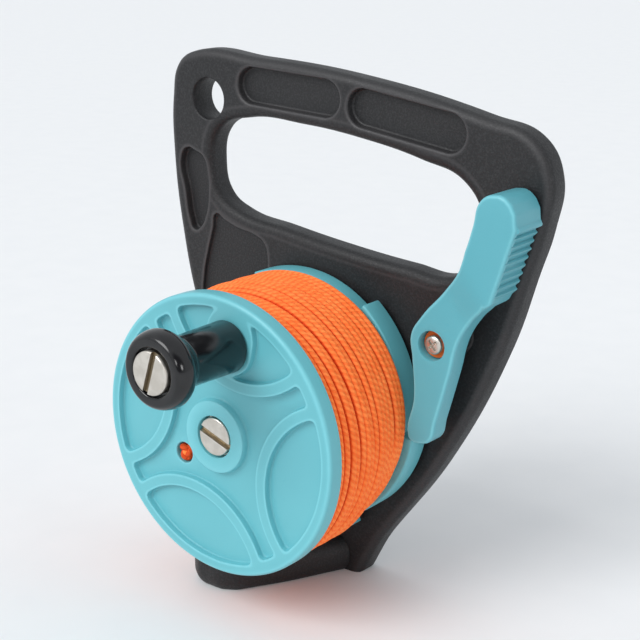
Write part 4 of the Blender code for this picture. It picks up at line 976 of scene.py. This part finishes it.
# The recess's edge, the cap's quarter round, its long curve into the neck, and the foot and bore.
knob_profile = [
    (RECESS_RADIUS + out, KNOB_FRONT + back)
    for out, back in [(0, 0.6), (0.08, 0.3), (0.3, 0.08), (0.6, 0)]
]
cap_radii = CROWN_RADIUS + (CAP_RADIUS - CROWN_RADIUS) * np.sin(quarter)
knob_profile += zip(cap_radii, KNOB_FRONT + CAP_DEPTH * (1 - np.cos(quarter)))
neck_radii = NECK_RADIUS + (CAP_RADIUS - NECK_RADIUS) * (1 + np.cos(math.pi * share)) / 2
knob_profile += list(zip(neck_radii, KNOB_FRONT + CAP_DEPTH + NECK_DEPTH * share))[1:]
knob_profile += [(KNOB_FOOT, KNOB_BACK - 0.5), (KNOB_FOOT - 0.14, KNOB_BACK - 0.15)]
knob_profile += [(KNOB_FOOT - 0.5, KNOB_BACK), (KNOB_BORE, KNOB_BACK)]
knob_profile += [(radius, KNOB_FRONT + RECESS_DEPTH) for radius in (KNOB_BORE, RECESS_RADIUS)]
knob = turned("crank_knob_body", knob_profile, KNOB, gloss)
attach(knob, "knob")
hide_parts("crank_knob")
knob_head = slotted_head(
    "knob_screw_head", KNOB, SCREW_RADIUS, SCREW_FRONT, SCREW_BACK, SCREW_SLOT, nickel
)
knob_shank = turned("knob_screw_shank", SCREW_PROFILE, KNOB, nickel)
for piece in (knob_head, knob_shank):
    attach(piece, "spool")
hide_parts("knob_screw")
dress("knob_nut", nickel)

# THUMB LEVER
# A turquoise lever with a flat pawl arm and a deep thumb pad, stepped on its right side for grip.
# It's one moulding, whose front runs smoothly from the arm to the pad.

LEVER_SIZE = np.array([31.5, 71.0])
ARM_FRONT, ARM_BACK = -17.5, -11.0
PAD_FRONT, PAD_BACK = -19.0, -5.8
LEVER_SHARES = [
    (-0.235, -0.378), (-0.180, -0.220), (-0.200, -0.060), (-0.216, 0.026), (-0.110, 0.106),
    (0.110, 0.215), (0.290, 0.322), (0.398, 0.480), (0.455, 0.570), (0.581, 0.600),
    (0.715, 0.580), (0.760, 0.516), (0.692, 0.396), (0.590, 0.262), (0.520, 0.186),
    (0.385, 0.121), (0.265, 0.035), (0.184, -0.097), (0.050, -0.300), (-0.010, -0.383),
    (-0.110, -0.400), (-0.205, -0.396),
]
PAD_SHARES = [
    (0.796, 0.498), (0.788, 0.540), (0.748, 0.573), (0.697, 0.593), (0.640, 0.601), (0.575, 0.594),
    (0.513, 0.571), (0.470, 0.540), (0.396, 0.460), (0.330, 0.385), (0.290, 0.318), (0.400, 0.235),
    (0.520, 0.180),
]
STEP_SHARES = np.array([(0.586, 0.199), (0.802, 0.483)])
STEP_COUNT = 9
STEP_DEPTH = 1.1
LEVER_BORE = 2.3
LEVER_ROUND, BROW_ROUND = 0.5, 0.9
LEVER_CORNER, PAD_CORNER = 0.5, 0.22
SWELL_START, SWELL_REACH = -9.0, 12.0
LEVER_PITCH, STEP_PITCH = 0.45, 0.6
# The face's own grid of points: its pitch, and how far it stays from the rim and the pivot.
GRID_PITCH, GRID_INSET, GRID_RADIUS = 1.3, 1.6, 4.8
# The front's side wall ends this far behind the face or before the back, and the front's own
# edge, which runs straight past the steps, has come back to the rim's places this far inside it.
BROW_REACH, BACK_REACH, BROW_BLEND = 1.3, 0.8, 2.5
# The screw's recess round the bore: its radii and its depths under the lever's front.
SCREW_RECESS = np.array([(3.9, 3.5), (4.08, 3.3), (4.1, 0.25), (4.2, 0.05), (4.4, 0.0)])
TIP = np.array([-0.235, -0.386]) * LEVER_SIZE
PIVOT_OFFSET = np.linalg.norm(PIVOT - AXIS)
AXIS_TO_PIVOT = math.radians(29.42)
CLEAR = RATCHET_RADIUS + 0.75


def turner(turn):
    """The matrix whose columns are a turn's own direction and the one square to it."""
    return np.array([[math.cos(turn), -math.sin(turn)], [math.sin(turn), math.cos(turn)]])


def lever_turned(shares):
    """Places of the lever from shares of its size, turned so that its tip just clears the teeth:
    the tip, the pivot and the spool's axis make a triangle with three known sides."""
    far = np.linalg.norm(TIP)
    corner = math.acos((PIVOT_OFFSET**2 + far**2 - CLEAR**2) / (2 * PIVOT_OFFSET * far))
    tilt = AXIS_TO_PIVOT + corner - math.pi - math.atan2(TIP[1], TIP[0])
    return PIVOT + (np.array(shares) * LEVER_SIZE) @ turner(tilt).T


step_start, step_end = lever_turned(STEP_SHARES)
step = (step_end - step_start) / STEP_COUNT
outward = np.array([step[1], -step[0]]) / np.linalg.norm(step)
count = np.arange(STEP_COUNT)[:, None]
valleys = step_start + step * (count + 0.1) - outward * STEP_DEPTH
tips = step_start + step * (count + 0.9)
tips[-1] += 0.7 * outward
steps = np.stack([valleys, tips], axis=1).reshape(-1, 2)
arm_side = inside(smooth_outline(lever_turned(LEVER_SHARES), 12))
pad = lever_turned(PAD_SHARES)
pad_side = inside(softened(np.vstack([steps, pad]), 700, PAD_CORNER))
brow_side = inside(softened(np.vstack([[step_start, step_end], pad]), 700, PAD_CORNER))


def lever_rim(places):
    """The distance into the lever: the greater of those into its arm and its pad."""
    return -soft_least(-arm_side(places), -pad_side(places), LEVER_CORNER)


def lever_brow(places):
    """The same without the steps: the lever's front edge runs straight past them."""
    return -soft_least(-arm_side(places), -brow_side(places), LEVER_CORNER)


lever_rows = rounding(LEVER_ROUND, 4)
brow_rows = rounding(BROW_ROUND, 6)
pad_depth = PAD_BACK - ARM_BACK
step_rows = np.array([(-1.0, 0.0), (-0.9, 0.0), (-0.6, pad_depth), (-0.5, pad_depth)])
corners = lever_turned([(-0.3, -0.45), (0.85, -0.45), (0.85, 0.65), (-0.3, 0.65)])
low, high = corners.min(axis=0) - 1, corners.max(axis=0) + 1
grid = np.meshgrid(*(np.arange(*ends, GRID_PITCH) for ends in zip(low, high)))
grid = np.stack(grid, axis=-1).reshape(-1, 2)
grid = grid[(lever_rim(grid) > GRID_INSET) & (to_pivot(grid) > GRID_RADIUS)]
places, triangles = plan(
    least(lever_rim, past(to_pivot, LEVER_BORE)),
    contours(lever_rim, low, high, LEVER_PITCH, [*brow_rows[:, 0], LEVER_ROUND]),
    contours(pad_side, low, high, STEP_PITCH, step_rows[:, 0]),
    circles(PIVOT, [LEVER_BORE, *SCREW_RECESS[:, 0]], 72),
    (grid, np.empty((0, 2), int)),
)
short = np.clip(lever_brow(places) - lever_rim(places), 0, None)
short *= np.clip(1 - lever_rim(places) / BROW_BLEND, 0, 1)
brow = places + outward * short[:, None]
swell = np.clip((brow_side(brow) - SWELL_START) / SWELL_REACH, 0, 1)
face = ARM_FRONT + (PAD_FRONT - ARM_FRONT) * swell**2 * (3 - 2 * swell)
front = face + depth_at(lever_brow(brow), brow_rows) + depth_at(to_pivot(places), SCREW_RECESS)
back = ARM_BACK + depth_at(pad_side(places), step_rows) - depth_at(lever_rim(places), lever_rows)
edged = np.minimum(face + BROW_REACH, back - BACK_REACH)
skins = [(brow, front), (brow, edged), (places, edged + 0.3), (places, back)]
lever_turquoise = satin_turquoise("lever_turquoise", (0.096, 0.375, 0.440), (0.110, 0.402, 0.467))
lever = panel("lever_moulding", triangles, skins, lever_turquoise)
# Painted highlight: a pale band along the rounding of the lever's front edge.
mark(lever, "edge", 0.5 * crest(lever_brow(brow), 0.45, 0.35))
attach(lever, "lever")
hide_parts("thumb_lever")

# LEVER PIVOT
# A small cross-head screw with an orange fibre washer holds the lever on the plate's post, and a
# spring of hard steel wire round the post swings it back.


def fibre_orange():
    """Orange vulcanised fibre, matt with a short nap."""
    finish = Finish("fibre_orange")
    nap = finish.noise(2400, 3.0)
    finish.show(
        Base_Color=finish.shade(nap, (0.78, 0.11, 0.012), (0.92, 0.20, 0.03)),
        Roughness=0.65 + 0.2 * nap,
        Normal=finish.raised(nap, 0.03),
    )
    return finish


dress("lever_washer", fibre_orange())
CROSS_HEAD = 2.6
CROSS_FRONT, CROSS_BACK = -17.0, -15.2
CROSS_TURN = 0.7
CROSS_BAR = (0.34, 1.6)
CROSS_PITCH, CROSS_WINDOW = 0.11, 2.4
CROSS_PROFILE = [(0, -15.3), (2.0, -15.3), (2.0, 1.5), (0, 1.5)]


def cross_side(places):
    """The distance into the screw's cross: the greater of those into its two bars."""
    off = np.abs((places - PIVOT) @ turner(CROSS_TURN))
    return np.minimum(CROSS_BAR[0] - off, CROSS_BAR[1] - off[..., ::-1]).max(axis=-1)


cross_rows = np.array([(-0.2, 0.0), (-0.05, 0.02), (0.0, 0.1), (0.06, 0.8), (0.3, 1.0)])
dome_rows = np.array(
    [(0.0, 0.85), (0.06, 0.6), (0.2, 0.42), (0.5, 0.24), (1.0, 0.1), (1.7, 0.03), (CROSS_HEAD, 0.0)]
)
cross_box = PIVOT - CROSS_WINDOW, PIVOT + CROSS_WINDOW
places, triangles = plan(
    lambda places: CROSS_HEAD - to_pivot(places),
    circles(PIVOT, CROSS_HEAD - dome_rows[:-1, 0], 60),
    contours(cross_side, *cross_box, CROSS_PITCH, cross_rows[1:, 0]),
)
sunk = depth_at(cross_side(places), cross_rows)
front = CROSS_FRONT + depth_at(CROSS_HEAD - to_pivot(places), dome_rows) + sunk
skins = [(places, front), (places, np.full(len(places), CROSS_BACK))]
cross_head = panel("lever_screw_head", triangles, skins, nickel)
cross_shank = turned("lever_screw_shank", CROSS_PROFILE, PIVOT, nickel, 48)
for piece in (cross_head, cross_shank):
    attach(piece, "frame")
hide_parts("lever_screw")

WIRE_RADIUS = 0.4
SPRING_TURNS, SPRING_LEG = 1.5, 5.0
SPRING_PLAY = 0.3
to_middle = SPRING_PLAY + WIRE_RADIUS
turn = np.linspace(0, SPRING_TURNS * math.tau, 160)
coil_ends = ARM_BACK + to_middle, -PLATE_FACE - POST_BASE - to_middle
coil = spun(PIVOT, POST_RADIUS + to_middle, turn, np.linspace(*coil_ends, len(turn)))
leg = np.linspace(0, SPRING_LEG, 12)[:, None] * (0.0, 0.0, -1.0)
front_leg, back_leg = coil[0] + leg[:0:-1], coil[-1] + leg[1:]
spring_path = np.vstack([front_leg, coil, back_leg])
outwards = spring_path * (1, 0, 1) - (PIVOT[0], 0, PIVOT[1])
outwards[: len(front_leg)] = (1, 0, 0)
outwards[-len(back_leg):] = (-1, 0, 0)
spring = tube_piece("return_spring", [tube(spring_path, WIRE_RADIUS, 12, outwards)], nickel)
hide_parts("lever_spring")
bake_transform(spring)

# STUDIO
# A pale board to stand on, one broad soft sky light from the front and above, two small windows
# beyond the camera that glint on the knob, pale surroundings with one dim side, and the camera.


def pale_board():
    """Matt pale board with a very faint mottle."""
    finish = Finish("pale_board")
    mottle = finish.noise(60, 3.0)
    finish.show(
        Base_Color=finish.shade(mottle, (0.80, 0.81, 0.82), (0.84, 0.845, 0.85)),
        Roughness=0.85 + 0.05 * mottle,
    )
    return finish


BOARD_HALF = 12000
SQUARE = [(-1, -1), (1, -1), (1, 1), (-1, 1)]
corners = [(across * BOARD_HALF, along * BOARD_HALF, 0) for across, along in SQUARE]
board = make_piece("board", corners, [(0, 1, 2, 3)], pale_board())


def lamp(name, kind, energy, place, tilt, turn):
    """A lamp of a kind at a place in metres, its beam tilted up from straight down and turned."""
    light = bpy.data.lights.new(name, kind)
    light.energy = energy
    shown = bpy.data.objects.new(name, light)
    shown.location = place
    shown.rotation_euler = (tilt, 0, turn)
    bpy.context.scene.collection.objects.link(shown)
    return light


KNOB_FACE = np.array([0.008, -0.079, 0.081])
for name, place in (("window_near", (0.70, -0.87, 0.48)), ("window_far", (1.16, -0.21, 0.34))):
    across, along, rise = KNOB_FACE - place
    tilt = math.atan2(math.hypot(across, along), -rise)
    lamp(name, "AREA", 1.2, place, tilt, math.atan2(-across, along)).size = 0.22
sky = lamp("sky_light", "SUN", 1.65, (0, 0, 0), math.radians(50), math.radians(-14))
sky.angle = math.radians(35)


class Surroundings(Finish):
    """The light from all round, worked out by the same kinds of node as a finish."""

    def __init__(self, name):
        world = bpy.data.worlds.new(name)
        world.use_nodes = True
        bpy.context.scene.world = world
        self.tree = world.node_tree
        self.shader = self.tree.nodes["Background"]


DIM_WAY = (0.86, -0.45, 0.24)
room = Surroundings("studio")
facing = {0: room.node("TexCoord", {}, {}, "Generated"), 1: DIM_WAY}
near = room.node("VectorMath", {"operation": "DOT_PRODUCT"}, facing, "Value")
glow = room.shade(room.ramp(near, 0.74, 0.90), (0.76, 0.79, 0.82), (0.12, 0.12, 0.13))
seen = room.node("LightPath", {}, {}, "Is Camera Ray")
room.show(Color=room.shade(seen, glow, (0.86, 0.88, 0.905)))

lens = bpy.data.cameras.new("camera")
lens.lens = 78.46
lens.sensor_width = 36
lens.clip_start = 0.01
camera = bpy.data.objects.new("camera", lens)
camera.location = (0.24106, -0.31183, 0.19208)
camera.rotation_euler = (math.radians(90 - 16.431), 0, math.radians(38.076))
bpy.context.scene.collection.objects.link(camera)
bpy.context.scene.camera = camera
bpy.context.scene.view_settings.view_transform = "Standard"
